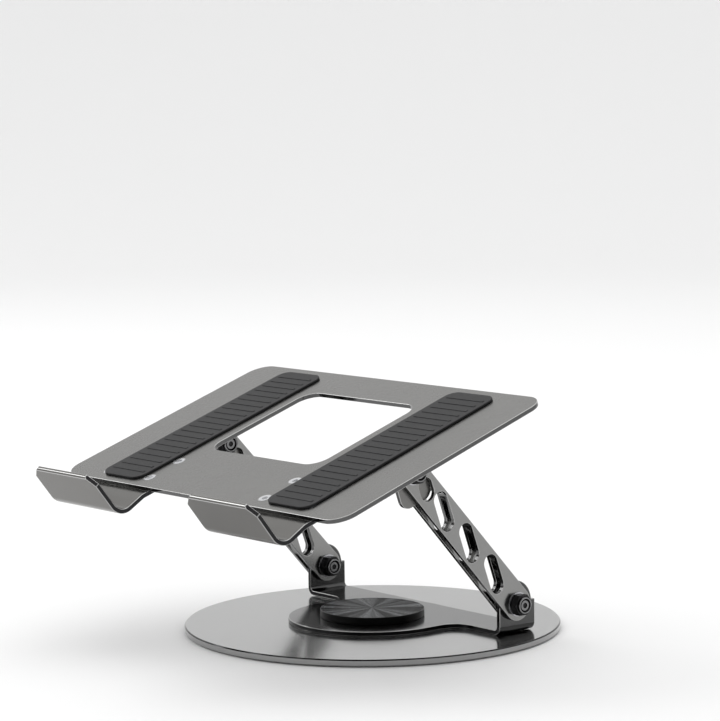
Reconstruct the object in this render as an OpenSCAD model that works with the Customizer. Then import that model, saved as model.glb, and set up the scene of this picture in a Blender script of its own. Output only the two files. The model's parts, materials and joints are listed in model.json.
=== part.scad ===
// Folding laptop stand: a round base plate, a bent-sheet yoke that swivels on it,
// two double-walled arms and a tilting tray with two front hooks.
// Millimetres, +Z up. The origin is the centre of the base at the surface it stands on.
// The user sits on the -Y side, +X is the user's right. Drawn in its raised, in-use pose.

/* [Base] */
// Diameter of the round base plate
base_d = 250; // [216:1:300]
// Thickness of the base plate
base_t = 4.5; // [3.8:0.1:8]
// Chamfer round the edge of the base plate
base_edge = 0.8; // [0.3:0.1:1.5]
// Width of the rubber foot ring
foot_w = 14; // [8:1:24]
// Distance of the foot ring from the rim
foot_inset = 9; // [5:1:20]
// Height that the rubber stands below the plate
foot_proud = 0.6; // [0.4:0.1:1.5]
// Diameter of the rubber pad in the middle
centre_pad_d = 64; // [50:1:90]

/* [Swivel] */
// Diameter of the spindle that the yoke turns on
spindle_d = 12; // [8:0.5:16]
// Radius of the yoke's round front lobe
lobe_r = 56; // [44:1:64]
// Diameter of the hub cap
cap_d = 69.4; // [52:0.2:80]
// Height of the hub cap
cap_h = 5; // [5:0.1:12]
// Wall of the hub cap
cap_wall = 1.3; // [1:0.1:2.5]

/* [Sheet metal] */
// Thickness of the yoke, ears, hooks and tray
sheet_t = 3; // [2.5:0.1:4]
// Thickness of each wall of an arm
arm_t = 2.8; // [2:0.1:4]
// Inner radius of the folds
fold_r = 2.5; // [1.5:0.1:4]

/* [Ears] */
// Distance between the middle planes of the two ears
ear_span = 193; // [170:1:205]
// Front to back length of an ear
ear_len = 31; // [26:1:34]
// Radius of the round top of an ear
ear_hump_r = 15; // [12:0.5:17]
// Height of the shoulder beside the round top
ear_shoulder_z = 26; // [20:0.5:30]
// Front face of the ears, behind the centre of the base
ear_front_y = 24.5; // [18:0.5:34]

/* [Arms] */
// Distance between the lower and the upper pivot
arm_len = 130; // [118:1:156]
// Width of an arm at the lower pivot
arm_w_low = 22; // [20:0.5:26]
// Width of an arm at the upper pivot
arm_w_top = 20.4; // [18:0.2:20.8]
// Angle of the arms above level
arm_raise = 47; // [40:1:60]
// Height of the lower pivot
pivot_z = 25; // [23:0.5:30]
// Distance from the front face of the ears to the lower pivot
pivot_inset = 13; // [10:0.5:18]
// Width of the slanted slots in the arms
slot_w = 11.2; // [6:0.2:12]
// Straight part of each long slot
slot_run = 16; // [8:0.5:18]
// Straight part of the short slot at the top
slot_run_short = 4.5; // [2:0.5:6]
// Distance from one slot to the next
slot_pitch = 31; // [26:0.5:34]
// Lean of the slots from the line of the arm
slot_lean = 23; // [0:1:28]

/* [Pivots] */
// Diameter of the pivot bolts
bolt_d = 8; // [5:0.5:8]
// Nut size across the flats
nut_af = 13; // [8:0.5:14]
// Thickness of each friction washer
friction_t = 0.5; // [0.3:0.1:1]

/* [Tray] */
// Width of the tray
tray_w = 288; // [270:1:320]
// Length of the tray from its front edge to its rear edge
tray_len = 180; // [160:1:200]
// Front edge of the tray, ahead of the upper pivot
tray_front = 96; // [92:1:104]
// Tilt of the tray
tray_tilt = 19; // [0:1:30]
// Corner radius of the tray
tray_corner_r = 14; // [5:1:24]
// Width of the opening in the middle of the tray
window_w = 112; // [60:1:120]
// Length of the opening in the middle of the tray
window_len = 92; // [40:1:100]
// Thickness of the silicone pads on the tray
pad_t = 1.6; // [1:0.1:3]

/* [Hooks] */
// Width of each front hook
hook_w = 68.6; // [44:0.2:80]
// Distance between the middles of the two hooks
hook_span = 165.4; // [150:0.2:190]
// Inner radius of the hook's bend
hook_r = 8.5; // [6:0.5:12]
// Drop of the bend below the strip that carries it
hook_drop = 3; // [1:0.5:6]
// Length of the lip from the bend to its top
lip_len = 26; // [18:1:32]
// Outward lean of the lip
lip_lean = 19; // [5:1:30]
// Cut corners of the lip
lip_cut = 7; // [2:0.5:10]

/* [Hidden] */

$fn = 96;
EPS = 0.01;
arc_step = 4;
RIGHT = 1;
LEFT = -1;

// Colours
STEEL_GREY = [0.50, 0.50, 0.51];
PALE_STEEL = [0.68, 0.68, 0.70];
BLACK_STEEL = [0.08, 0.08, 0.09];
SOFT_BLACK = [0.05, 0.05, 0.05];
ACETAL_WHITE = [0.88, 0.88, 0.85];

// Clearances
run_fit = 0.05;
part_gap = 0.3;
rivet_gap = 0.1;
screw_end_gap = 0.2;

// Base stack, from the ground up
foot_recess = 1.4;
foot_t = foot_proud + foot_recess;
base_bottom = foot_proud;
base_top = base_bottom + base_t;
centre_pad_recess = 0.6;
centre_pad_t = foot_proud + centre_pad_recess;
spindle_flange_d = 34;
spindle_flange_t = 1.6;
slip_od = 96;
slip_id = 72;
slip_proud = 0.3;
slip_recess = 0.9;
slip_t = slip_proud + slip_recess;
yoke_bottom = base_top + slip_proud;
yoke_top = yoke_bottom + sheet_t;

// Hub stack, on top of the yoke
bush_wall = 2;
bush_flange_d = spindle_d + 14;
bush_flange_t = 0.6;
hub_washer_d = spindle_d + 13;
hub_washer_t = 0.5;
hub_spring_t = 0.5;
hub_nut_d = spindle_d + 10;
hub_stack_z = yoke_top + bush_flange_t;
hub_nut_z = hub_stack_z + hub_washer_t + hub_spring_t;
cap_top = yoke_top + cap_h;
cap_roof_z = cap_top - cap_wall;
hub_nut_t = cap_roof_z - part_gap - hub_nut_z;
yoke_bore_r = spindle_d / 2 + run_fit + bush_wall;
cap_screw_r = cap_d / 2 - 10;
cap_screw_d = 2.5;
cap_screw_head_d = 5;
cap_boss_d = 7;
cap_screw_count = 3;
nut_slot_w = 2.4;
nut_slot_depth = 1.2;

// Yoke and ears
ear_x = ear_span / 2;
ear_in = ear_x - sheet_t / 2;
ear_out = ear_x + sheet_t / 2;
ear_rear_y = ear_front_y + ear_len;
pivot_y = ear_front_y + pivot_inset;
hump_y = pivot_y;
fold_out_r = fold_r + sheet_t;
flat_x = ear_out - fold_out_r;
waist_r = 13;

// Arms
arm_gap = sheet_t + 2 * friction_t + 2 * run_fit;
wall_in = arm_gap / 2;
wall_out = wall_in + arm_t;
arm_angle = 180 - arm_raise;
web_t = 2.4;
web_start = ear_hump_r + 7;
slot_first = 30.5;
slot_long_count = 3;
slot_short_at = arm_len - 16.2;
hinge_drop = 22;
web_end = arm_len - hinge_drop - 9;

// Inner face of the web at a distance u up the arm
function web_inner_y(u) = web_t - (arm_w_low + (arm_w_top - arm_w_low) * u / arm_len) / 2;

// Pivot hardware, measured outwards from the wall of an arm
bolt_hole_r = bolt_d / 2 + run_fit;
spring_t = 0.7;
spring_d = bolt_d + 8;
nut_t = 5.2;
collar_t = 1.3;
collar_d = nut_af - 2.2;
bolt_head_d = bolt_d + 6.4;
bolt_head_t = 3.6;
bolt_socket_af = 5;
bolt_socket_depth = 2.2;
bolt_tip_back = 0.5;
friction_d = 17;
nut_face_x = wall_out + spring_t;

// Tray frame: origin on the upper pivot line, +Y up the tray, +Z away from it
upper_y = pivot_y - arm_len * cos(arm_raise);
upper_z = pivot_z + arm_len * sin(arm_raise);
tip_gap = 1;
hinge_plate_z = arm_w_top / 2 + tip_gap;
tray_under = hinge_plate_z + sheet_t;
tray_top = tray_under + sheet_t;
window_front = -38;
window_corner_r = 12;
hinge_plate_w = 26;
hinge_plate_len = 60;
hinge_w = 26;
hinge_corner_r = 7;
hinge_fold_r = 1.5;
hinge_fold_out = hinge_fold_r + sheet_t;
rivet_d = 4;
rivet_head_d = 8;
rivet_head_t = 1.6;
rivet_tail_d = 6.4;
rivet_tail_t = 1.4;
hinge_rivet_x = ear_in - hinge_plate_w / 2 - 1;
hinge_rivet_y = hinge_plate_len / 2 - 8;

// Hooks, in the tray frame
hook_x = hook_span / 2;
hook_strip_z = tray_under - sheet_t;
hook_out_r = hook_r + sheet_t;
hook_ramp = 13;
hook_bend_y = -(tray_front + 18.5);
hook_bend_z = hook_strip_z - hook_drop + hook_out_r;
ramp_foot_y = hook_bend_y + hook_out_r * sin(hook_ramp);
ramp_foot_z = hook_bend_z - hook_out_r * cos(hook_ramp);
ramp_top_y = ramp_foot_y + (hook_strip_z - ramp_foot_z) / tan(hook_ramp);
hook_tail_y = -50;
hook_rivet_y = [ramp_top_y + 16, hook_tail_y - 9];
hook_rivet_dx = hook_w / 2 - 12;
tail_corner_r = 8;
lip_bevel = 1.1;
lip_dir = 90 + lip_lean;

// Pads
pad_w = 42;
pad_front = -(tray_front - 6);
pad_len = tray_len - 14;
pad_x = hook_x + 4;
pad_corner_r = 8;
lip_pad_t = 1;
lip_pad_h = 15;
lip_pad_side = 9;
lip_pad_foot = 5;

// ---------------------------------------------------------------- shared shapes

// Points along an arc, from one angle to another
function arc_points(centre, r, from, to) =
    let (steps = ceil(abs(to - from) / arc_step))
    [for (i = [0 : steps])
        let (a = from + (to - from) * i / steps)
        centre + r * [cos(a), sin(a)]];

// A disc or tube standing on z
module ring(od, id, h, z = 0) {
    translate([0, 0, z])
        difference() {
            cylinder(d = od, h = h);
            translate([0, 0, -1])
                cylinder(d = id, h = h + 2);
        }
}

// Rounded rectangle in the plane, from (x0, y0), with exact arcs
module rounded_area(x0, y0, w, l, r) {
    translate([x0 + r, y0])
        square([w - 2 * r, l]);
    translate([x0, y0 + r])
        square([w, l - 2 * r]);
    for (x = [x0 + r, x0 + w - r], y = [y0 + r, y0 + l - r])
        translate([x, y])
            circle(r = r);
}

// Long hole centred on the origin, running along X
module slot_area(run, w) {
    translate([-run / 2, -w / 2])
        square([run, w]);
    for (x = [-run / 2, run / 2])
        translate([x, 0])
            circle(d = w);
}

// Turns a flat drawing (X forward, Y up) into a sheet whose faces look along X
module upright(x0, t) {
    translate([x0, 0, 0])
        rotate([90, 0, 90])
            linear_extrude(height = t)
                children();
}

// A shaft along X through a point of the pivot line
module cross_shaft(d, x0, x1) {
    translate([x0, 0, 0])
        rotate([0, 90, 0])
            cylinder(d = d, h = x1 - x0);
}

// A washer along X
module cross_ring(od, id, x0, t) {
    translate([x0, 0, 0])
        rotate([0, 90, 0])
            ring(od, id, t);
}

// Places children drawn round the lower or the upper pivot of one arm
module at_lower(side) {
    translate([side * ear_x, pivot_y, pivot_z])
        children();
}

module at_upper(side) {
    translate([side * ear_x, upper_y, upper_z])
        children();
}

// Places children drawn in the tray frame
module in_tray() {
    translate([0, upper_y, upper_z])
        rotate([tray_tilt, 0, 0])
            children();
}

// ---------------------------------------------------------------- base

module base_plate() {
    color(STEEL_GREY)
        difference() {
            rotate_extrude()
                polygon([
                    [0, base_bottom],
                    [base_d / 2 - base_edge, base_bottom],
                    [base_d / 2, base_bottom + base_edge],
                    [base_d / 2, base_top - base_edge],
                    [base_d / 2 - base_edge, base_top],
                    [0, base_top]
                ]);
            translate([0, 0, -1])
                cylinder(d = spindle_d, h = base_top + 2);
            translate([0, 0, base_bottom - 1])
                cylinder(d = centre_pad_d, h = centre_pad_recess + 1);
            translate([0, 0, base_bottom])
                cylinder(d = spindle_flange_d, h = centre_pad_recess + spindle_flange_t);
            ring(base_d - 2 * foot_inset, base_d - 2 * foot_inset - 2 * foot_w,
                foot_recess + 1, base_bottom - 1);
            ring(slip_od, slip_id, slip_recess + 1, base_top - slip_recess);
        }
}

module foot_ring() {
    color(SOFT_BLACK)
        ring(base_d - 2 * foot_inset, base_d - 2 * foot_inset - 2 * foot_w, foot_t);
}

module centre_pad() {
    color(SOFT_BLACK)
        cylinder(d = centre_pad_d, h = centre_pad_t);
}

// Flanged spindle, pressed into the base from below
module spindle() {
    color(PALE_STEEL) {
        translate([0, 0, centre_pad_t])
            cylinder(d = spindle_flange_d, h = spindle_flange_t);
        translate([0, 0, centre_pad_t])
            cylinder(d = spindle_d, h = hub_nut_z + hub_nut_t - centre_pad_t);
    }
}

module slip_ring() {
    color(ACETAL_WHITE)
        ring(slip_od, slip_id, slip_t, base_top - slip_recess);
}

module hub_washer() {
    color(PALE_STEEL)
        ring(hub_washer_d, spindle_d, hub_washer_t, hub_stack_z);
}

module hub_spring() {
    color(PALE_STEEL)
        ring(hub_washer_d - 2, spindle_d, hub_spring_t, hub_stack_z + hub_washer_t);
}

// Slotted ring nut that holds the yoke down
module hub_nut() {
    color(PALE_STEEL)
        difference() {
            ring(hub_nut_d, spindle_d, hub_nut_t, hub_nut_z);
            for (a = [0 : 90 : 270])
                rotate([0, 0, a])
                    translate([hub_nut_d / 2 - nut_slot_depth, -nut_slot_w / 2, hub_nut_z - 1])
                        cube([nut_slot_depth + 1, nut_slot_w, hub_nut_t + 2]);
        }
}

// ---------------------------------------------------------------- yoke

// Outline of the flat part: a round lobe in front, flaring into a straight rear bar
module yoke_area() {
    circle(r = lobe_r);
    translate([-lobe_r, 0])
        square([2 * lobe_r, ear_rear_y]);
    translate([-flat_x - EPS, ear_front_y])
        square([2 * (flat_x + EPS), ear_len]);
    for (side = [LEFT, RIGHT])
        difference() {
            translate([side * (lobe_r + waist_r / 2), ear_front_y - waist_r / 2])
                square([waist_r, waist_r], center = true);
            translate([side * (lobe_r + waist_r), ear_front_y - waist_r])
                circle(r = waist_r);
        }
}

// Outline of one ear above the fold: square foot, shoulder and round top
module ear_area() {
    fold_z = yoke_bottom + fold_out_r;
    translate([ear_front_y, fold_z - EPS])
        square([ear_len, ear_shoulder_z - fold_z + EPS]);
    intersection() {
        translate([hump_y, pivot_z])
            circle(r = ear_hump_r);
        translate([ear_front_y, fold_z])
            square([ear_len, 2 * ear_hump_r + pivot_z]);
    }
}

// Quarter-round fold of sheet, opening up and inwards, running along Y
module fold(r_in, length) {
    rotate([90, 0, 0])
        translate([0, 0, -length])
            linear_extrude(height = length)
                intersection() {
                    difference() {
                        circle(r = r_in + sheet_t);
                        circle(r = r_in);
                    }
                    translate([0, -r_in - sheet_t])
                        square(r_in + sheet_t);
                }
}

module swivel_yoke() {
    color(STEEL_GREY)
        difference() {
            union() {
                translate([0, 0, yoke_bottom])
                    linear_extrude(height = sheet_t)
                        yoke_area();
                for (side = [LEFT, RIGHT])
                    mirror([side == LEFT ? 1 : 0, 0, 0]) {
                        translate([flat_x, ear_front_y, yoke_bottom + fold_out_r])
                            fold(fold_r, ear_len);
                        upright(ear_in, sheet_t)
                            ear_area();
                    }
            }
            translate([0, 0, yoke_bottom - 1])
                cylinder(r = yoke_bore_r, h = sheet_t + 2);
            cap_screw_holes();
            for (side = [LEFT, RIGHT])
                at_lower(side)
                    cross_shaft(2 * bolt_hole_r, -sheet_t, sheet_t);
        }
}

// Clearance holes and countersinks for the screws that hold the cap
module cap_screw_holes() {
    for (i = [0 : cap_screw_count - 1])
        rotate([0, 0, 90 + i * 360 / cap_screw_count])
            translate([cap_screw_r, 0, yoke_bottom]) {
                translate([0, 0, -1])
                    cylinder(d = cap_screw_d + 2 * rivet_gap, h = sheet_t + 2);
                translate([0, 0, -EPS])
                    cylinder(d1 = cap_screw_head_d + 2 * rivet_gap, d2 = cap_screw_d + 2 * rivet_gap,
                        h = (cap_screw_head_d - cap_screw_d) / 2);
            }
}

// Flanged bush that lines the yoke's bore
module hub_bush() {
    color(ACETAL_WHITE)
        difference() {
            union() {
                translate([0, 0, yoke_bottom])
                    cylinder(r = yoke_bore_r, h = sheet_t);
                translate([0, 0, yoke_top])
                    cylinder(d = bush_flange_d, h = bush_flange_t);
            }
            translate([0, 0, yoke_bottom - 1])
                cylinder(d = spindle_d + 2 * run_fit, h = sheet_t + bush_flange_t + 2);
        }
}

// Shallow round cap over the hub nut
module hub_cap() {
    edge = 0.4;
    color(BLACK_STEEL)
        difference() {
            union() {
                difference() {
                    rotate_extrude()
                        polygon([
                            [0, yoke_top],
                            [cap_d / 2, yoke_top],
                            [cap_d / 2, cap_top - edge],
                            [cap_d / 2 - edge, cap_top],
                            [0, cap_top]
                        ]);
                    translate([0, 0, yoke_top - 1])
                        cylinder(d = cap_d - 2 * cap_wall, h = cap_roof_z - yoke_top + 1);
                }
                cap_posts(cap_boss_d, yoke_top, cap_roof_z + EPS);
            }
            cap_posts(cap_screw_d, yoke_top - 1, cap_roof_z - part_gap);
        }
}

// Round posts on the screw circle, used for bosses, their holes and the screws' shanks
module cap_posts(d, z0, z1) {
    for (i = [0 : cap_screw_count - 1])
        rotate([0, 0, 90 + i * 360 / cap_screw_count])
            translate([cap_screw_r, 0, z0])
                cylinder(d = d, h = z1 - z0);
}

module cap_screws() {
    head_t = (cap_screw_head_d - cap_screw_d) / 2;
    color(PALE_STEEL) {
        cap_posts(cap_screw_d, yoke_bottom, cap_roof_z - part_gap - screw_end_gap);
        for (i = [0 : cap_screw_count - 1])
            rotate([0, 0, 90 + i * 360 / cap_screw_count])
                translate([cap_screw_r, 0, yoke_bottom])
                    cylinder(d1 = cap_screw_head_d, d2 = cap_screw_d, h = head_t);
    }
}

// ---------------------------------------------------------------- arms

// Outline of an arm, lower pivot on the origin, running along X; -Y is its back edge
module arm_area() {
    low_r = arm_w_low / 2;
    top_r = arm_w_top / 2;
    lean = asin((low_r - top_r) / arm_len);
    polygon(concat(
        arc_points([0, 0], low_r, 90 - lean, 270 + lean),
        arc_points([arm_len, 0], top_r, lean - 90, 90 - lean)
    ));
}

// The four slanted holes of an arm
module arm_slots() {
    for (i = [0 : slot_long_count - 1])
        translate([slot_first + i * slot_pitch, 0])
            rotate(-slot_lean)
                slot_area(slot_run, slot_w);
    translate([slot_short_at, 0])
        rotate(-slot_lean)
            slot_area(slot_run_short, slot_w);
}

module arm_wall_area() {
    difference() {
        arm_area();
        arm_slots();
        for (x = [0, arm_len])
            translate([x, 0])
                circle(r = bolt_hole_r);
    }
}

// Everything between the walls that is empty: all but the web along the back edge
module channel_area() {
    past = arm_w_low;
    polygon([
        [-past, -past],
        [web_start, -past],
        [web_start, web_inner_y(web_start)],
        [web_end, web_inner_y(web_end)],
        [web_end, -past],
        [arm_len + past, -past],
        [arm_len + past, past],
        [-past, past]
    ]);
}

// One arm: two walls and the web between them
module arm(side) {
    color(STEEL_GREY)
        at_lower(side)
            difference() {
                upright(-wall_out, 2 * wall_out)
                    rotate(arm_angle)
                        arm_wall_area();
                upright(-wall_in, 2 * wall_in)
                    rotate(arm_angle)
                        channel_area();
            }
}

module right_arm() {
    arm(RIGHT);
}

module left_arm() {
    arm(LEFT);
}

// ---------------------------------------------------------------- pivot hardware

// Bolt with a round head on the -X side and its tip inside the nut's collar
module pivot_bolt() {
    tip_x = nut_face_x + nut_t + collar_t - bolt_tip_back;
    color(BLACK_STEEL)
        difference() {
            union() {
                cross_shaft(bolt_d, -wall_out, tip_x);
                translate([-wall_out, 0, 0])
                    rotate([0, -90, 0])
                        rotate_extrude()
                            polygon([
                                [0, 0],
                                [bolt_head_d / 2, 0],
                                [bolt_head_d / 2, bolt_head_t * 0.45],
                                [bolt_head_d / 2 - bolt_head_t * 0.55, bolt_head_t],
                                [0, bolt_head_t]
                            ]);
            }
            translate([-wall_out - bolt_head_t - 1, 0, 0])
                rotate([0, 90, 0])
                    cylinder(d = bolt_socket_af / cos(30), h = bolt_socket_depth + 1, $fn = 6);
        }
}

// Hexagon lock nut with a round collar
module pivot_nut() {
    color(BLACK_STEEL)
        translate([nut_face_x, 0, 0])
            rotate([0, 90, 0])
                difference() {
                    union() {
                        rotate([0, 0, 30])
                            cylinder(d = nut_af / cos(30), h = nut_t, $fn = 6);
                        translate([0, 0, nut_t - EPS])
                            cylinder(d = collar_d, h = collar_t + EPS);
                    }
                    translate([0, 0, -1])
                        cylinder(d = bolt_d, h = nut_t + collar_t + 2);
                }
}

// Two thin washers, one on each side of the ear
module friction_pair() {
    color(SOFT_BLACK)
        for (x = [sheet_t / 2 + run_fit, -sheet_t / 2 - run_fit - friction_t])
            cross_ring(friction_d, bolt_d + 2 * run_fit, x, friction_t);
}

// Disc spring under the nut
module disc_spring() {
    color(PALE_STEEL)
        cross_ring(spring_d, bolt_d + 2 * run_fit, wall_out, spring_t);
}

module right_lower_bolt() {
    at_lower(RIGHT)
        pivot_bolt();
}

module right_lower_nut() {
    at_lower(RIGHT)
        pivot_nut();
}

module right_lower_friction() {
    at_lower(RIGHT)
        friction_pair();
}

module right_lower_spring() {
    at_lower(RIGHT)
        disc_spring();
}

module right_upper_bolt() {
    at_upper(RIGHT)
        pivot_bolt();
}

module right_upper_nut() {
    at_upper(RIGHT)
        pivot_nut();
}

module right_upper_friction() {
    at_upper(RIGHT)
        friction_pair();
}

module right_upper_spring() {
    at_upper(RIGHT)
        disc_spring();
}

module left_lower_bolt() {
    at_lower(LEFT)
        pivot_bolt();
}

module left_lower_nut() {
    at_lower(LEFT)
        pivot_nut();
}

module left_lower_friction() {
    at_lower(LEFT)
        friction_pair();
}

module left_lower_spring() {
    at_lower(LEFT)
        disc_spring();
}

module left_upper_bolt() {
    at_upper(LEFT)
        pivot_bolt();
}

module left_upper_nut() {
    at_upper(LEFT)
        pivot_nut();
}

module left_upper_friction() {
    at_upper(LEFT)
        friction_pair();
}

module left_upper_spring() {
    at_upper(LEFT)
        disc_spring();
}

// ---------------------------------------------------------------- tray

module tray_plate() {
    color(STEEL_GREY)
        in_tray()
            difference() {
                translate([0, 0, tray_under])
                    linear_extrude(height = sheet_t)
                        difference() {
                            rounded_area(-tray_w / 2, -tray_front, tray_w, tray_len, tray_corner_r);
                            rounded_area(-window_w / 2, window_front, window_w, window_len,
                                window_corner_r);
                        }
                hinge_rivet_places()
                    rivet_hole();
                hook_rivet_places()
                    rivet_hole();
            }
}

// Rivet hole through the plate and the strip below it, countersunk at the top
module rivet_hole() {
    translate([0, 0, hook_strip_z - 1])
        cylinder(d = rivet_d + 2 * rivet_gap, h = 2 * sheet_t + 2);
    translate([0, 0, tray_top - rivet_head_t])
        cylinder(d1 = rivet_d + 2 * rivet_gap, d2 = rivet_head_d + 2 * rivet_gap, h = rivet_head_t + EPS);
}

// Countersunk rivet with a flat tail under the strip
module rivet() {
    translate([0, 0, hook_strip_z - rivet_tail_t / 2])
        cylinder(d = rivet_d, h = tray_top - hook_strip_z + rivet_tail_t / 2);
    translate([0, 0, tray_top - rivet_head_t])
        cylinder(d1 = rivet_d, d2 = rivet_head_d, h = rivet_head_t);
    translate([0, 0, hook_strip_z - rivet_tail_t])
        cylinder(d = rivet_tail_d, h = rivet_tail_t);
}

module hinge_rivet_places() {
    for (side = [LEFT, RIGHT], y = [-hinge_rivet_y, hinge_rivet_y])
        translate([side * hinge_rivet_x, y, 0])
            children();
}

module hook_rivet_places() {
    for (side = [LEFT, RIGHT], dx = [-hook_rivet_dx, hook_rivet_dx], y = hook_rivet_y)
        translate([side * hook_x + dx, y, 0])
            children();
}

module hinge_rivets() {
    color(PALE_STEEL)
        in_tray()
            hinge_rivet_places()
                rivet();
}

module hook_rivets() {
    color(PALE_STEEL)
        in_tray()
            hook_rivet_places()
                rivet();
}

// Angle bracket under the tray: a riveted foot and an ear that hangs between the arm's walls
module hinge(side) {
    fold_z = tray_under - hinge_fold_out;
    color(STEEL_GREY)
        in_tray()
            mirror([side == LEFT ? 1 : 0, 0, 0])
                difference() {
                    union() {
                        translate([0, 0, hinge_plate_z])
                            linear_extrude(height = sheet_t)
                                rounded_area(ear_out - hinge_fold_out - hinge_plate_w, -hinge_plate_len / 2,
                                    hinge_plate_w + EPS, hinge_plate_len, 3);
                        translate([ear_out - hinge_fold_out, -hinge_w / 2, fold_z])
                            mirror([0, 0, 1])
                                fold(hinge_fold_r, hinge_w);
                        upright(ear_in, sheet_t) {
                            rounded_area(-hinge_w / 2, -hinge_drop, hinge_w, hinge_drop, hinge_corner_r);
                            translate([-hinge_w / 2, -hinge_drop / 2])
                                square([hinge_w, hinge_drop / 2 + fold_z + EPS]);
                        }
                    }
                    translate([ear_x, 0, 0])
                        cross_shaft(2 * bolt_hole_r, -sheet_t, sheet_t);
                    hinge_rivet_places()
                        rivet_hole();
                }
}

module right_hinge() {
    hinge(RIGHT);
}

module left_hinge() {
    hinge(LEFT);
}

// ---------------------------------------------------------------- hooks

// Point of the lip: u up from the bend, v out from the middle of the bend
function lip_point(u, v) = [
    hook_bend_y + u * cos(lip_dir) - v * sin(lip_dir),
    hook_bend_z + u * sin(lip_dir) + v * cos(lip_dir)
];

// Side view of a hook: tail, ramp, round bend and leaning lip
module hook_area() {
    ramp_dir = hook_ramp - 90;
    face_dir = lip_dir + 90 - 360;
    polygon(concat(
        [[hook_tail_y, hook_strip_z], [ramp_top_y, hook_strip_z]],
        arc_points([hook_bend_y, hook_bend_z], hook_out_r, ramp_dir, face_dir),
        [
            lip_point(lip_len - lip_bevel, hook_out_r),
            lip_point(lip_len, hook_out_r - lip_bevel),
            lip_point(lip_len, hook_r)
        ],
        arc_points([hook_bend_y, hook_bend_z], hook_r, face_dir, ramp_dir),
        [
            [ramp_top_y - sheet_t * tan(hook_ramp / 2), hook_strip_z + sheet_t],
            [hook_tail_y, hook_strip_z + sheet_t]
        ]
    ));
}

// Cuts one top corner of a lip, seen square to the lip
module lip_corner_cut(edge) {
    translate([edge * hook_w / 2, hook_bend_y, hook_bend_z])
        rotate([lip_lean, 0, 0])
            translate([0, 0, lip_len])
                rotate([0, 45, 0])
                    cube([lip_cut * sqrt(2), 4 * hook_out_r, lip_cut * sqrt(2)], center = true);
}

// Rounds one rear corner of the tail
module tail_corner_cut(edge) {
    translate([edge * (hook_w / 2 - tail_corner_r), hook_tail_y - tail_corner_r, hook_strip_z - 1])
        difference() {
            translate([edge > 0 ? 0 : -tail_corner_r - 1, 0, 0])
                cube([tail_corner_r + 1, tail_corner_r + 1, sheet_t + 2]);
            translate([0, 0, -1])
                cylinder(r = tail_corner_r, h = sheet_t + 4);
        }
}

module hook(side) {
    color(STEEL_GREY)
        in_tray()
            difference() {
                translate([side * hook_x, 0, 0])
                    difference() {
                        upright(-hook_w / 2, hook_w)
                            hook_area();
                        for (edge = [LEFT, RIGHT]) {
                            lip_corner_cut(edge);
                            tail_corner_cut(edge);
                        }
                    }
                hook_rivet_places()
                    rivet_hole();
            }
}

module right_hook() {
    hook(RIGHT);
}

module left_hook() {
    hook(LEFT);
}

// ---------------------------------------------------------------- pads

// Long silicone pad on one side of the tray
module tray_pad(side) {
    color(SOFT_BLACK)
        in_tray()
            translate([side * pad_x - pad_w / 2, 0, tray_top])
                linear_extrude(height = pad_t)
                    rounded_area(0, pad_front, pad_w, pad_len, pad_corner_r);
}

module right_tray_pad() {
    tray_pad(RIGHT);
}

module left_tray_pad() {
    tray_pad(LEFT);
}

// Thin silicone pad on the inner face of one lip
module lip_pad(side) {
    color(SOFT_BLACK)
        in_tray()
            translate([side * hook_x, hook_bend_y, hook_bend_z])
                rotate([lip_lean, 0, 0])
                    translate([0, -hook_r + lip_pad_t, lip_pad_foot])
                        rotate([90, 0, 0])
                            linear_extrude(height = lip_pad_t)
                                rounded_area(lip_pad_side - hook_w / 2, 0, hook_w - 2 * lip_pad_side,
                                    lip_pad_h, 4);
}

module right_lip_pad() {
    lip_pad(RIGHT);
}

module left_lip_pad() {
    lip_pad(LEFT);
}

// ---------------------------------------------------------------- assembly

base_plate();
foot_ring();
centre_pad();
spindle();
slip_ring();
hub_bush();
hub_washer();
hub_spring();
hub_nut();
swivel_yoke();
hub_cap();
cap_screws();
right_arm();
right_lower_bolt();
right_lower_nut();
right_lower_friction();
right_lower_spring();
right_upper_bolt();
right_upper_nut();
right_upper_friction();
right_upper_spring();
left_arm();
left_lower_bolt();
left_lower_nut();
left_lower_friction();
left_lower_spring();
left_upper_bolt();
left_upper_nut();
left_upper_friction();
left_upper_spring();
tray_plate();
right_hinge();
left_hinge();
hinge_rivets();
right_hook();
left_hook();
hook_rivets();
right_tray_pad();
left_tray_pad();
right_lip_pad();
left_lip_pad();
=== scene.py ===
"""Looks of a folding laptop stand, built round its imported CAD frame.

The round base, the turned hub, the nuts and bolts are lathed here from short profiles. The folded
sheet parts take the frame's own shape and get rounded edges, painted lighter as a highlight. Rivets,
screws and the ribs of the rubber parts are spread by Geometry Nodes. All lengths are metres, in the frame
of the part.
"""
import json
import logging
import math
from collections.abc import Callable, Sequence
from dataclasses import dataclass, field
from enum import Enum

import bmesh
import bpy
from mathutils import Matrix, Vector

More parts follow.
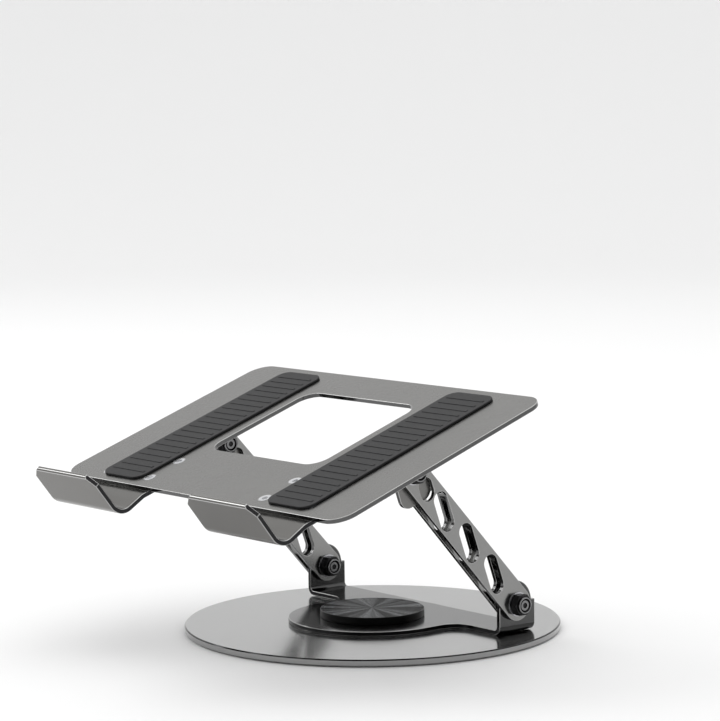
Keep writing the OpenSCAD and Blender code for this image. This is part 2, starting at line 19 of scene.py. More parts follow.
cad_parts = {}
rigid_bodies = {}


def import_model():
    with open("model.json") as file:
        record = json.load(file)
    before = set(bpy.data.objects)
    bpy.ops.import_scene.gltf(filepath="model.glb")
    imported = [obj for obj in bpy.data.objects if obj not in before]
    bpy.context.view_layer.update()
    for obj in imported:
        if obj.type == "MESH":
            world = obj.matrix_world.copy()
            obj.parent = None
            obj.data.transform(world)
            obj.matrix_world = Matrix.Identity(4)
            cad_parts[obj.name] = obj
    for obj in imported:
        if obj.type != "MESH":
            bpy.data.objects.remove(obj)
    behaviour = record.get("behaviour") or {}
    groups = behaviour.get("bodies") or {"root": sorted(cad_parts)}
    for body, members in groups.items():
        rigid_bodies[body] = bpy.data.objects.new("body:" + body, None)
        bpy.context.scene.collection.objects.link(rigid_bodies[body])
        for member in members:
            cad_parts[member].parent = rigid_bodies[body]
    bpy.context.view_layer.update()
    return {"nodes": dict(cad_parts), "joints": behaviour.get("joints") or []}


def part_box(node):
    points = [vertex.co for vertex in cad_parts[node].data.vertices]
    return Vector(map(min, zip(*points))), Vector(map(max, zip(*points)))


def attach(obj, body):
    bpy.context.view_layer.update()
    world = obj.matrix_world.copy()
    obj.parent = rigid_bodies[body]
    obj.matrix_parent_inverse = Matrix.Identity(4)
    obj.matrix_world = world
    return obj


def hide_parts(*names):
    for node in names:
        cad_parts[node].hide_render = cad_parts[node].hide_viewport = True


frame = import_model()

MM = 0.001
FULL_TURN = 2 * math.pi
TOUCH = 0.0001 * MM
SHARP_DEG = 32.0
LARGE_FACES_ONLY = 100
STRAIGHT = math.radians(178)
CORNER_SHARE = 0.45
FACE_SLOT, EDGE_SLOT, CUT_SLOT = range(3)
LOG = logging.getLogger("laptop_stand")

Colour = tuple[float, float, float]
Triple = tuple[float, float, float]
Profile = list[tuple[float, float]]
Trim = Callable[[float, float], float]
CutTest = Callable[[Vector, Vector], bool]
SlotTest = Callable[[Vector], int]


class Body(Enum):
    """The moving bodies of the stand."""

    BASE = "base"
    SWIVEL = "swivel"
    RIGHT_ARM = "right_arm"
    LEFT_ARM = "left_arm"
    TRAY_PIVOTS = "tray_pivots"
    TRAY = "tray"


class Slot(Enum):
    """The record's material slots."""

    BASE_METAL = "base_metal"
    SHEET_METAL = "sheet_metal"
    CAP_BLACK = "cap_black"
    FASTENER_BLACK = "fastener_black"
    PLATED_STEEL = "plated_steel"
    ACETAL = "acetal"
    FRICTION_BLACK = "friction_black"
    SILICONE = "silicone"


class Side(Enum):
    """The user's right and left."""

    RIGHT = "right"
    LEFT = "left"


@dataclass(frozen=True)
class Extent:
    """The box of a CAD node at rest."""

    lo: Vector
    hi: Vector

    @classmethod
    def of(cls, node: str) -> "Extent":
        """Reads the box of a CAD node, in the frame of the part."""
        lo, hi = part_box(node)
        return cls(Vector(lo), Vector(hi))

    @property
    def centre(self) -> Vector:
        """Middle of the box."""
        return (self.lo + self.hi) / 2

    @property
    def size(self) -> Vector:
        """Lengths of the box along X, Y and Z."""
        return self.hi - self.lo


# ------------------------------------------------------------------ finishes


class Shader:
    """A new material with its Principled shader and short calls for the nodes that finishes share."""

    def __init__(self, name: str) -> None:
        """Starts an empty material.

        Args:
            name: Name of the material.
        """
        self.material = bpy.data.materials.new(name)
        self.material.use_nodes = True
        self.tree = self.material.node_tree
        self.principled = self.tree.nodes["Principled BSDF"]

    def fix(self, **values: float | Colour) -> None:
        """Sets constant values on the shader's own sockets.

        Args:
            **values: Socket names, with underscores for spaces, and their values.
        """
        for name, value in values.items():
            socket = self.principled.inputs[name.replace("_", " ")]
            socket.default_value = (*value, 1.0) if isinstance(value, tuple) else value

    def node(self, kind: str, **settings: object) -> bpy.types.Node:
        """Adds a node.

        Args:
            kind: Node type name.
            **settings: Attributes to set on it.

        Returns:
            The new node.
        """
        node = self.tree.nodes.new(kind)
        for name, value in settings.items():
            setattr(node, name, value)
        return node

    def link(self, source: bpy.types.NodeSocket, target: bpy.types.NodeSocket) -> None:
        """Joins two sockets."""
        self.tree.links.new(source, target)

    def drive(self, source: bpy.types.NodeSocket, name: str) -> None:
        """Joins a socket to one of the shader's inputs."""
        self.link(source, self.principled.inputs[name])

    def place(self, stretch: Triple = (1.0, 1.0, 1.0)) -> bpy.types.NodeSocket:
        """Object coordinates, scaled along each axis.

        Args:
            stretch: Factor along X, Y and Z.

        Returns:
            The vector socket.
        """
        where = self.node("ShaderNodeTexCoord")
        mapping = self.node("ShaderNodeMapping")
        mapping.inputs["Scale"].default_value = stretch
        self.link(where.outputs["Object"], mapping.inputs["Vector"])
        return mapping.outputs["Vector"]

    def noise(self, grain: float, detail: float = 3.0,
              stretch: Triple = (1.0, 1.0, 1.0)) -> bpy.types.NodeSocket:
        """Noise with features of a given size.

        Args:
            grain: Size of the largest features in metres.
            detail: Octaves of finer noise.
            stretch: Factor on the pattern's frequency along X, Y and Z.

        Returns:
            The factor socket, 0 to 1.
        """
        noise = self.node("ShaderNodeTexNoise")
        noise.inputs["Scale"].default_value = 1.0 / grain
        noise.inputs["Detail"].default_value = detail
        self.link(self.place(stretch), noise.inputs["Vector"])
        return noise.outputs["Fac"]

    def spread(self, factor: bpy.types.NodeSocket, low: float, high: float,
               start: float = 0.3, end: float = 0.7) -> bpy.types.NodeSocket:
        """Maps a factor to a range of values.

        Args:
            factor: Socket to map.
            low: Value at start and below.
            high: Value at end and above.
            start: Factor that gives low.
            end: Factor that gives high.

        Returns:
            The mapped socket.
        """
        limits = self.node("ShaderNodeMapRange")
        for name, value in {"From Min": start, "From Max": end, "To Min": low, "To Max": high}.items():
            limits.inputs[name].default_value = value
        self.link(factor, limits.inputs["Value"])
        return limits.outputs["Result"]

    def blend(self, factor: bpy.types.NodeSocket, low: Colour, high: Colour) -> bpy.types.NodeSocket:
        """Mixes two colours.

        Args:
            factor: Socket that chooses between them.
            low: Colour at factor 0.
            high: Colour at factor 1.

        Returns:
            The colour socket.
        """
        mix = self.node("ShaderNodeMix", data_type="RGBA")
        colours = [s for s in mix.inputs if s.type == "RGBA"]
        colours[0].default_value = (*low, 1.0)
        colours[1].default_value = (*high, 1.0)
        self.link(factor, mix.inputs["Factor"])
        return next(s for s in mix.outputs if s.type == "RGBA")

    def times(self, first: bpy.types.NodeSocket, second: bpy.types.NodeSocket) -> bpy.types.NodeSocket:
        """Multiplies two factors.

        Args:
            first: One factor.
            second: The other.

        Returns:
            The product's socket.
        """
        product = self.node("ShaderNodeMath", operation="MULTIPLY")
        self.link(first, product.inputs[0])
        self.link(second, product.inputs[1])
        return product.outputs[0]

    def relief(self, height: bpy.types.NodeSocket, depth: float) -> None:
        """Adds a bump at full strength.

        Args:
            height: Socket with the height, 0 to 1.
            depth: Real height of the bump in metres.
        """
        bump = self.node("ShaderNodeBump")
        bump.inputs["Distance"].default_value = depth
        bump.inputs["Strength"].default_value = 1.0
        self.link(height, bump.inputs["Height"])
        self.drive(bump.outputs["Normal"], "Normal")


def tinted(colour: Colour, factor: float) -> Colour:
    """A lighter or darker shade of a linear colour."""
    return tuple(min(1.0, c * factor) for c in colour)


@dataclass(frozen=True)
class Finish:
    """A surface finish. A subclass draws it; each is made once and shared."""

    name: str
    colour: Colour
    roughness: float

    def paint(self, shader: Shader) -> None:
        """Draws the finish on a new shader."""
        raise NotImplementedError

    def shade(self, shader: Shader, factor: bpy.types.NodeSocket, amount: float) -> None:
        """Makes the colour darker and lighter by a share, following a pattern."""
        varied = shader.blend(factor, tinted(self.colour, 1 - amount), tinted(self.colour, 1 + amount))
        shader.drive(varied, "Base Color")

    def gloss(self, shader: Shader, factor: bpy.types.NodeSocket, low: float, high: float,
              start: float = 0.3, end: float = 0.7) -> None:
        """Varies the roughness from low to high times its value, over a pattern's start to end."""
        varied = shader.spread(factor, self.roughness * low, self.roughness * high, start, end)
        shader.drive(varied, "Roughness")

    def material(self) -> bpy.types.Material:
        """The material of this finish.

        Returns:
            The material, made at the first call.
        """
        made = bpy.data.materials.get(self.name)
        if made is None:
            shader = Shader(self.name)
            self.paint(shader)
            made = shader.material
        return made


@dataclass(frozen=True)
class SatinMetal(Finish):
    """Blasted and plated metal: an even satin face with a fine grain and faint clouding."""

    cloud: float = 0.06
    cloud_size: float = 28 * MM
    cloud_detail: float = 4.0
    grain: float = 0.35 * MM
    grain_detail: float = 2.0
    grain_depth: float = 0.0012 * MM
    smooth: float = 0.86
    rough: float = 1.14
    smooth_at: float = 0.12
    rough_at: float = 0.4

    def paint(self, shader: Shader) -> None:
        """Draws faint clouds in colour and gloss, and a fine blasted grain.

        Args:
            shader: Shader to draw on.
        """
        clouds = shader.noise(self.cloud_size, self.cloud_detail)
        grain = shader.noise(self.grain, self.grain_detail)
        shader.fix(Metallic=1.0)
        self.shade(shader, clouds, self.cloud)
        both = shader.times(clouds, grain)
        self.gloss(shader, both, self.smooth, self.rough, self.smooth_at, self.rough_at)
        shader.relief(grain, self.grain_depth)


@dataclass(frozen=True)
class BrushedMetal(Finish):
    """Metal with fine straight lines along one axis, as on rolled or ground stock."""

    along: Triple = (0.02, 1.0, 1.0)
    line: float = 0.25 * MM
    line_depth: float = 0.001 * MM
    contrast: float = 0.08
    smooth: float = 0.8
    rough: float = 1.2

    def paint(self, shader: Shader) -> None:
        """Draws lines in colour, gloss and relief.

        Args:
            shader: Shader to draw on.
        """
        lines = shader.noise(self.line, stretch=self.along)
        shader.fix(Metallic=1.0)
        self.shade(shader, lines, self.contrast)
        self.gloss(shader, lines, self.smooth, self.rough)
        shader.relief(lines, self.line_depth)


@dataclass(frozen=True)
class SpunMetal(Finish):
    """Metal turned on a lathe about the Z axis: rings of fine grooves that streak the light, and fans of
    painted highlight and shade in its colour.
    """

    groove: float = 0.22 * MM
    groove_depth: float = 0.0022 * MM
    groove_detail: float = 2.0
    streak: float = 0.85
    contrast: float = 0.25
    # Size and range of the fans of painted highlight and shade in the colour.
    spokes: float = 3.4
    spoke_detail: float = 3.0
    spoke_low: float = 0.1
    spoke_high: float = 7.0
    dark_at: float = 0.42
    light_at: float = 0.68
    smooth: float = 0.85
    rough: float = 1.15
    metallic: float = 0.55
    gleam: float = 0.1
    edge_tint: Colour = (0.12, 0.12, 0.12)

    def paint(self, shader: Shader) -> None:
        """Draws rings by distance from the Z axis, fans of painted highlight and shade in the colour, and
        stretched gloss.

        Args:
            shader: Shader to draw on.
        """
        flat = shader.node("ShaderNodeVectorMath", operation="LENGTH")
        shader.link(shader.place((1.0, 1.0, 0.0)), flat.inputs[0])
        rings = shader.node("ShaderNodeTexNoise", noise_dimensions="1D")
        rings.inputs["Scale"].default_value = 1.0 / self.groove
        rings.inputs["Detail"].default_value = self.groove_detail
        shader.link(flat.outputs["Value"], rings.inputs["W"])
        shader.fix(Metallic=self.metallic, Anisotropic=self.streak, Specular_IOR_Level=self.gleam,
                   Specular_Tint=self.edge_tint)
        shader.drive(self.painted_sheen(shader, rings.outputs["Fac"]), "Base Color")
        self.gloss(shader, rings.outputs["Fac"], self.smooth, self.rough)
        round_way = shader.node("ShaderNodeTangent", direction_type="UV_MAP", uv_map="turn")
        shader.drive(round_way.outputs["Tangent"], "Tangent")
        shader.relief(rings.outputs["Fac"], self.groove_depth)

    def painted_sheen(self, shader: Shader, rings: bpy.types.NodeSocket) -> bpy.types.NodeSocket:
        """Colour with painted highlight and shade that change with the direction from the axis, and that
        changes faintly from ring to ring.

        Args:
            shader: Shader to draw on.
            rings: Factor that follows the grooves.

        Returns:
            The colour socket.
        """
        heading = shader.node("ShaderNodeVectorMath", operation="NORMALIZE")
        shader.link(shader.place((1.0, 1.0, 0.0)), heading.inputs[0])
        painted_sheen = shader.node("ShaderNodeTexNoise")
        painted_sheen.inputs["Scale"].default_value = self.spokes
        painted_sheen.inputs["Detail"].default_value = self.spoke_detail
        shader.link(heading.outputs["Vector"], painted_sheen.inputs["Vector"])
        level = shader.spread(painted_sheen.outputs["Fac"], self.spoke_low, self.spoke_high, self.dark_at,
                              self.light_at)
        grooved = shader.spread(rings, 1 - self.contrast, 1 + self.contrast)
        scaled = shader.node("ShaderNodeVectorMath", operation="SCALE")
        scaled.inputs[0].default_value = self.colour
        shader.link(shader.times(level, grooved), scaled.inputs["Scale"])
        return scaled.outputs["Vector"]


@dataclass(frozen=True)
class BlackOxide(Finish):
    """Blackened steel: dark, slightly oily, with lighter worn specks."""

    wear: Colour = (0.09, 0.09, 0.095)
    patch: float = 2.2 * MM
    patch_detail: float = 6.0
    worn_from: float = 0.5
    worn_to: float = 0.9
    grain: float = 0.18 * MM
    grain_detail: float = 2.0
    grain_depth: float = 0.0008 * MM
    smooth: float = 0.85
    rough: float = 1.2
    metallic: float = 0.85
    refraction: float = 1.6

    def paint(self, shader: Shader) -> None:
        """Draws a dark metal with uneven gloss and faint wear.

        Args:
            shader: Shader to draw on.
        """
        patches = shader.noise(self.patch, self.patch_detail)
        shader.fix(Metallic=self.metallic, IOR=self.refraction)
        worn = shader.spread(patches, 0.0, 1.0, self.worn_from, self.worn_to)
        shader.drive(shader.blend(worn, self.colour, self.wear), "Base Color")
        self.gloss(shader, patches, self.smooth, self.rough)
        shader.relief(shader.noise(self.grain, self.grain_detail), self.grain_depth)


@dataclass(frozen=True)
class Moulded(Finish):
    """Moulded plastic or rubber with a fine texture."""

    texture: float = 0.3 * MM
    texture_detail: float = 2.0
    texture_depth: float = 0.01 * MM
    mottle: float = 0.12
    mottle_size: float = 6 * MM
    mottle_detail: float = 4.0
    smooth: float = 0.9
    rough: float = 1.1
    refraction: float = 1.46
    gleam: float = 0.35

    def paint(self, shader: Shader) -> None:
        """Draws a pebbled skin with slight mottling.

        Args:
            shader: Shader to draw on.
        """
        skin = shader.noise(self.texture, self.texture_detail)
        shader.fix(Metallic=0.0, IOR=self.refraction, Specular_IOR_Level=self.gleam)
        self.shade(shader, shader.noise(self.mottle_size, self.mottle_detail), self.mottle)
        self.gloss(shader, skin, self.smooth, self.rough)
        shader.relief(skin, self.texture_depth)


HOOK_SATIN = SatinMetal("hook_satin", (0.135, 0.132, 0.125), 0.22)
TRAY_SATIN = SatinMetal("tray_satin", (0.19, 0.188, 0.182), 0.28)
ARM_SATIN = SatinMetal("arm_satin", (0.26, 0.26, 0.256), 0.17, cloud=0.08)
# The yoke is the same sheet metal as the arms; its darker colour is partly painted shade.
YOKE_SATIN_SHADED = SatinMetal("yoke_satin_shaded", (0.085, 0.085, 0.085), 0.14, cloud=0.08)
BASE_SATIN = SatinMetal("base_satin", (0.43, 0.432, 0.43), 0.165, cloud=0.04)
# Near-black metal on the base's top chamfer and on the yoke's and hooks' sheared edges: painted shade.
PAINTED_SHADE_EDGE = BrushedMetal("painted_shade_edge", (0.028, 0.028, 0.029), 0.11, along=(1.0, 1.0, 0.3))
MIRROR_CUT = BrushedMetal("mirror_cut", (0.11, 0.11, 0.11), 0.07, along=(0.3, 1.0, 1.0))
# Lighter metal on the rounded edges of the sheet parts: a painted highlight.
EDGE_HIGHLIGHT = BrushedMetal("painted_edge_highlight", (0.46, 0.46, 0.455), 0.14)
RIM_STEEL = BrushedMetal("polished_rim", (0.34, 0.34, 0.34), 0.09, along=(1.0, 1.0, 0.02))
# The spun top's colour carries fans of painted highlight and shade.
CAP_TOP = SpunMetal("spun_black", (0.036, 0.037, 0.038), 0.25)
CAP_SIDE = BlackOxide("cap_side_black", (0.004, 0.004, 0.004), 0.36, wear=(0.008, 0.008, 0.008))
BLACK_STEEL = BlackOxide("blackened_steel", (0.012, 0.012, 0.013), 0.22, wear=(0.05, 0.05, 0.05))
# Lighter steel: a painted highlight on the nuts' rolled lips; it also colours the bolts' faced tips.
TIP_STEEL_AND_LIP_SHEEN = BlackOxide("tip_steel_and_lip_sheen", (0.2, 0.2, 0.203), 0.2, wear=(0.3, 0.3, 0.3))
ZINC = BrushedMetal("zinc_plate", (0.62, 0.63, 0.65), 0.22, along=(1.0, 1.0, 1.0), line=0.6 * MM)
SPRING_STEEL = BrushedMetal("spring_steel", (0.42, 0.42, 0.44), 0.18, along=(1.0, 0.4, 0.4))
ACETAL_WHITE = Moulded("acetal_white", (0.78, 0.78, 0.73), 0.32, mottle=0.03, texture_depth=0.004 * MM)
FRICTION_BLACK = Moulded("friction_black", (0.03, 0.03, 0.03), 0.5)
SILICONE = Moulded("silicone_black", (0.018, 0.018, 0.019), 0.6)


# ------------------------------------------------------------------ mesh helpers


def finished(name: str, mesh: bpy.types.Mesh, finishes: Sequence[Finish],
             sharp_deg: float = SHARP_DEG) -> bpy.types.Object:
    """Makes a shaded object at the origin from a mesh.

    Args:
        name: Name of the piece.
        mesh: Mesh in the frame of the part.
        finishes: Finishes for material slots 0, 1, ...
        sharp_deg: Edges steeper than this stay sharp.

    Returns:
        The linked object, its normals weighted by face size so that flat faces look flat.
    """
    for finish in finishes:
        mesh.materials.append(finish.material())
    smooth(mesh, sharp_deg)
    piece = bpy.data.objects.new(name, mesh)
    bpy.context.scene.collection.objects.link(piece)
    weighted = piece.modifiers.new("even_normals", "WEIGHTED_NORMAL")
    weighted.keep_sharp = True
    weighted.weight = LARGE_FACES_ONLY
    bake_modifiers(piece)
    return piece


def smooth(mesh: bpy.types.Mesh, sharp_deg: float) -> None:
    """Shades a mesh smooth, apart from edges steeper than an angle."""
    mesh.polygons.foreach_set("use_smooth", [True] * len(mesh.polygons))
    mesh.set_sharp_from_angle(angle=math.radians(sharp_deg))


def bake_modifiers(piece: bpy.types.Object) -> None:
    """Replaces a piece's mesh with its evaluated mesh and drops the modifiers.

    Args:
        piece: Piece with its modifiers still on.
    """
    graph = bpy.context.evaluated_depsgraph_get()
    evaluated = piece.evaluated_get(graph)
    mesh = bpy.data.meshes.new_from_object(evaluated, preserve_all_data_layers=True, depsgraph=graph)
    piece.modifiers.clear()
    piece.data = mesh
    mesh.name = piece.name


def rounded(corners: Profile, radius: float, steps: int = 4, closed: bool = True) -> Profile:
    """Rounds the corners of a profile.

    Args:
        corners: Corner points, as distance from the axis and height.
        radius: Radius of every corner, limited by the stretches beside it.
        steps: Points on each rounded corner, less one.
        closed: Whether the last point joins the first; the ends of an open profile stay sharp.

    Returns:
        The points of the rounded profile.
    """
    points = [Vector(c) for c in corners]
    count = len(points)
    result: Profile = []
    for i, point in enumerate(points):
        if not closed and i in (0, count - 1):
            result.append(tuple(point))
            continue
        before, after = points[i - 1] - point, points[(i + 1) % count] - point
        turn = before.angle(after)
        if turn > STRAIGHT:
            result.append(tuple(point))
            continue
        reach = min(radius / math.tan(turn / 2), before.length * CORNER_SHARE,
                    after.length * CORNER_SHARE)
        true_radius = reach * math.tan(turn / 2)
        middle = point + (before.normalized() + after.normalized()).normalized() * (
            true_radius / math.sin(turn / 2))
        first = point + before.normalized() * reach - middle
        last = point + after.normalized() * reach - middle
        sweep = first.angle_signed(last)
        for k in range(steps + 1):
            angle = -sweep * k / steps
            spoke = Vector((first.x * math.cos(angle) - first.y * math.sin(angle),
                            first.x * math.sin(angle) + first.y * math.cos(angle)))
            result.append(tuple(middle + spoke))
    return result


def lathe(name: str, profile: Profile, steps: int, closed: bool = True, trim: Trim | None = None,
          place: Matrix | None = None, slot_of: SlotTest | None = None) -> bpy.types.Mesh:
    """Turns a profile about the Z axis.

    Args:
        name: Name of the mesh.
        profile: Points as distance from the axis and height. An open one starts and ends on the axis.
        steps: Faces round the axis.
        closed: Whether the profile is a loop clear of the axis.
        trim: Gives the distance from the axis for a profile distance and an angle, for flats.
        place: Where the turned shape goes.
        slot_of: Gives a face's material slot from its middle, before it is placed.

    Returns:
        The mesh, with a UV map named turn that follows the rings.
    """
    mesh = bpy.data.meshes.new(name)
    shape = bmesh.new()
    turn_map = shape.loops.layers.uv.new("turn")
    rings: list[list[bmesh.types.BMVert]] = []
    for radius, height in profile:
        if radius < TOUCH:
            rings.append([shape.verts.new((0, 0, height))])
            continue
        ring = []
        for k in range(steps):
            angle = FULL_TURN * k / steps
            reach = trim(radius, angle) if trim else radius
            ring.append(shape.verts.new((reach * math.cos(angle), reach * math.sin(angle), height)))
        rings.append(ring)
    pairs = list(zip(range(len(rings)), range(1, len(rings))))
    if closed:
        pairs.append((len(rings) - 1, 0))
    for low, high in pairs:
        for k in range(steps):
            after = (k + 1) % steps
            loop = [rings[low][k % len(rings[low])], rings[low][after % len(rings[low])],
                    rings[high][after % len(rings[high])], rings[high][k % len(rings[high])]]
            corners = list(dict.fromkeys(loop))
            if len(corners) < 3:
                continue
            face = shape.faces.new(corners)
            for corner in face.loops:
                at_seam = after == 0 and corner.vert in (loop[1], loop[2])
                turned = 1.0 if at_seam else math.atan2(corner.vert.co.y, corner.vert.co.x) / FULL_TURN % 1
                corner[turn_map].uv = (turned, low / len(rings))
    bmesh.ops.recalc_face_normals(shape, faces=shape.faces)
    if slot_of:
        for face in shape.faces:
            face.material_index = slot_of(face.calc_center_median())
    if place:
        shape.transform(place)
    shape.to_mesh(mesh)
    shape.free()
    return mesh


def joined(name: str, meshes: Sequence[bpy.types.Mesh]) -> bpy.types.Mesh:
    """Joins meshes into one.

    Args:
        name: Name of the result.
        meshes: Meshes whose material slots mean the same.

    Returns:
        The joined mesh; the given ones are removed.
    """
    shape = bmesh.new()
    for mesh in meshes:
        shape.from_mesh(mesh)
        bpy.data.meshes.remove(mesh)
    result = bpy.data.meshes.new(name)
    shape.to_mesh(result)
    shape.free()
    return result


def hexagon(across_flats: float) -> Trim:
    """A trim that cuts six flats.

    Args:
        across_flats: Distance between opposite flats.

    Returns:
        The trim for lathe().
    """
    sixth = FULL_TURN / 6

    def cut(radius: float, angle: float) -> float:
        """Distance from the axis, limited by the nearest flat."""
        from_flat = (angle + sixth / 2) % sixth - sixth / 2
        return min(radius, across_flats / 2 / math.cos(from_flat))
    return cut


def dress(piece: bpy.types.Object, body: Body, slot: Slot, *nodes: str) -> bpy.types.Object:
    """Attaches a finished piece to its body and hides the CAD nodes that it stands for.

    Args:
        piece: The piece.
        body: Body that it moves with.
        slot: Record slot that its finish belongs to; not used.
        *nodes: CAD nodes that it stands for.

    Returns:
        The same piece.
    """
    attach(piece, body.value)
    if nodes:
        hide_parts(*nodes)
    LOG.info("%s: %d faces on %s", piece.name, len(piece.data.polygons), body.value)
    return piece


@dataclass
class SheetPart:
    """A part cut and folded from sheet, with softly rounded edges; on most parts their lighter colour is a
    painted highlight.
    """

    node: str
    body: Body
    slot: Slot = Slot.SHEET_METAL
    finish: Finish = TRAY_SATIN
    edge_finish: Finish = EDGE_HIGHLIGHT
    cut_finish: Finish = MIRROR_CUT
    is_cut: CutTest | None = None
    edge_round: float = 0.32 * MM
    edge_steps: int = 3
    weld: float = 0.03 * MM
    flat_deg: float = 0.4
    fold_deg: float = 28.0

    def build(self) -> bpy.types.Object:
        """Rounds the edges of the part's own shape and gives it its finish.

        Returns:
            The dressed piece.
        """
        shape = bmesh.new()
        shape.from_mesh(frame["nodes"][self.node].data)
        bmesh.ops.remove_doubles(shape, verts=shape.verts, dist=self.weld)
        bmesh.ops.dissolve_degenerate(shape, dist=self.weld, edges=shape.edges)
        bmesh.ops.dissolve_limit(shape, angle_limit=math.radians(self.flat_deg), verts=shape.verts,
                                 edges=shape.edges)
        corners = [e for e in shape.edges if len(e.link_faces) == 2
                   and e.calc_face_angle(0.0) > math.radians(self.fold_deg)]
        # The rounded edges take slot 1; on most sheet parts that is the lighter painted highlight.
        bmesh.ops.bevel(shape, geom=corners, offset=self.edge_round, segments=self.edge_steps,
                        profile=0.5, affect="EDGES", clamp_overlap=False, material=EDGE_SLOT)
        if self.is_cut:
            for face in shape.faces:
                if face.material_index != FACE_SLOT:
                    continue
                if self.is_cut(face.normal, face.calc_center_median()):
                    face.material_index = CUT_SLOT
        mesh = bpy.data.meshes.new(self.node)
        shape.to_mesh(mesh)
        shape.free()
        piece = finished(f"{self.node}_sheet", mesh, (self.finish, self.edge_finish, self.cut_finish))
        return dress(piece, self.body, self.slot, self.node)


# ------------------------------------------------------------------ geometry nodes


class Spreader:
    """A Geometry Nodes tree that repeats a small shape, built node by node."""

    def __init__(self, name: str, sizes: dict[str, float]) -> None:
        """Starts the tree.

        Args:
            name: Name of the tree.
            sizes: Named size inputs and their values in metres, or plain counts.
        """
        self.name = name
        self.sizes = sizes
        self.tree = bpy.data.node_groups.new(name, "GeometryNodeTree")
        ports = self.tree.interface
        ports.new_socket("Geometry", in_out="OUTPUT", socket_type="NodeSocketGeometry")
        self.ids: dict[str, str] = {}
        for label, value in sizes.items():
            kind = "NodeSocketInt" if isinstance(value, int) else "NodeSocketFloat"
            self.ids[label] = ports.new_socket(label, in_out="INPUT", socket_type=kind).identifier
        self.inputs = self.tree.nodes.new("NodeGroupInput")
        self.output = self.tree.nodes.new("NodeGroupOutput")

    def node(self, kind: str, **links: object) -> bpy.types.Node:
        """Adds a node and feeds its inputs.

        Args:
            kind: Node type name.
            **links: Input name, with underscores for spaces, to a socket or a constant.

        Returns:
            The new node.
        """
        node = self.tree.nodes.new(kind)
        for name, value in links.items():
            self.feed(node, name.replace("_", " "), value)
        return node

    def feed(self, node: bpy.types.Node, name: str, value: object) -> None:
        """Links or sets one input of a node.

        Args:
            node: Node to feed.
            name: Name of the input.
            value: Socket or constant.
        """
        socket = next(s for s in node.inputs if s.name == name and s.enabled)
        if isinstance(value, bpy.types.NodeSocket):
            self.tree.links.new(value, socket)
        else:
            socket.default_value = value

    def size(self, label: str) -> bpy.types.NodeSocket:
        """The socket of a named size."""
        return self.inputs.outputs[label]

    def vector(self, x: object = 0.0, y: object = 0.0, z: object = 0.0) -> bpy.types.NodeSocket:
        """The socket of a vector made from sockets or constants."""
        return self.node("ShaderNodeCombineXYZ", X=x, Y=y, Z=z).outputs[0]

    def total(self, first: object, second: object, how: str = "ADD") -> bpy.types.NodeSocket:
        """A sum, or another operation, of two numbers.

        Args:
            first: Socket or constant.
            second: Socket or constant.
            how: Name of the operation.

        Returns:
            The result's socket.
        """
        maths = self.tree.nodes.new("ShaderNodeMath")
        maths.operation = how
        for socket, value in zip(maths.inputs, (first, second)):
            if isinstance(value, bpy.types.NodeSocket):
                self.tree.links.new(value, socket)
            else:
                socket.default_value = value
        return maths.outputs[0]

    def moved(self, shape: bpy.types.NodeSocket, **how: object) -> bpy.types.NodeSocket:
        """A shape moved, turned or scaled, by the Transform node's inputs."""
        return self.node("GeometryNodeTransform", Geometry=shape, **how).outputs[0]

    def together(self, *shapes: bpy.types.NodeSocket) -> bpy.types.NodeSocket:
        """Joins shapes into one geometry.

        Args:
            *shapes: Geometry sockets.

        Returns:
            The joined geometry.
        """
        join = self.tree.nodes.new("GeometryNodeJoinGeometry")
        for shape in shapes:
            self.tree.links.new(shape, join.inputs[0])
        return join.outputs[0]

    def repeated(self, points: bpy.types.NodeSocket, shape: bpy.types.NodeSocket,
                 **how: object) -> bpy.types.NodeSocket:
        """A copy of a shape on every point, or on every vertex of a mesh."""
        return self.node("GeometryNodeInstanceOnPoints", Points=points, Instance=shape, **how).outputs[0]

    def finish(self, shape: bpy.types.NodeSocket, finish: Finish, name: str,
               place: Matrix | None = None) -> bpy.types.Object:
        """Ends the tree, runs it once and turns the result into a plain piece.

        Args:
            shape: Geometry to put out.
            finish: Finish of every face.
            name: Name of the piece.
            place: Where the piece goes, applied to its mesh.

        Returns:
            The piece, with no modifier left.
        """
        real = self.node("GeometryNodeRealizeInstances", Geometry=shape)
        coat = self.node("GeometryNodeSetMaterial", Geometry=real.outputs[0], Material=finish.material())
        self.tree.links.new(coat.outputs[0], self.output.inputs[0])
        piece = bpy.data.objects.new(name, bpy.data.meshes.new(name))
        bpy.context.scene.collection.objects.link(piece)
        modifier = piece.modifiers.new(self.name, "NODES")
        modifier.node_group = self.tree
        for label, value in self.sizes.items():
            modifier[self.ids[label]] = value
        bake_modifiers(piece)
        if place:
            piece.data.transform(place)
        smooth(piece.data, SHARP_DEG)
        return piece


# ------------------------------------------------------------------ base


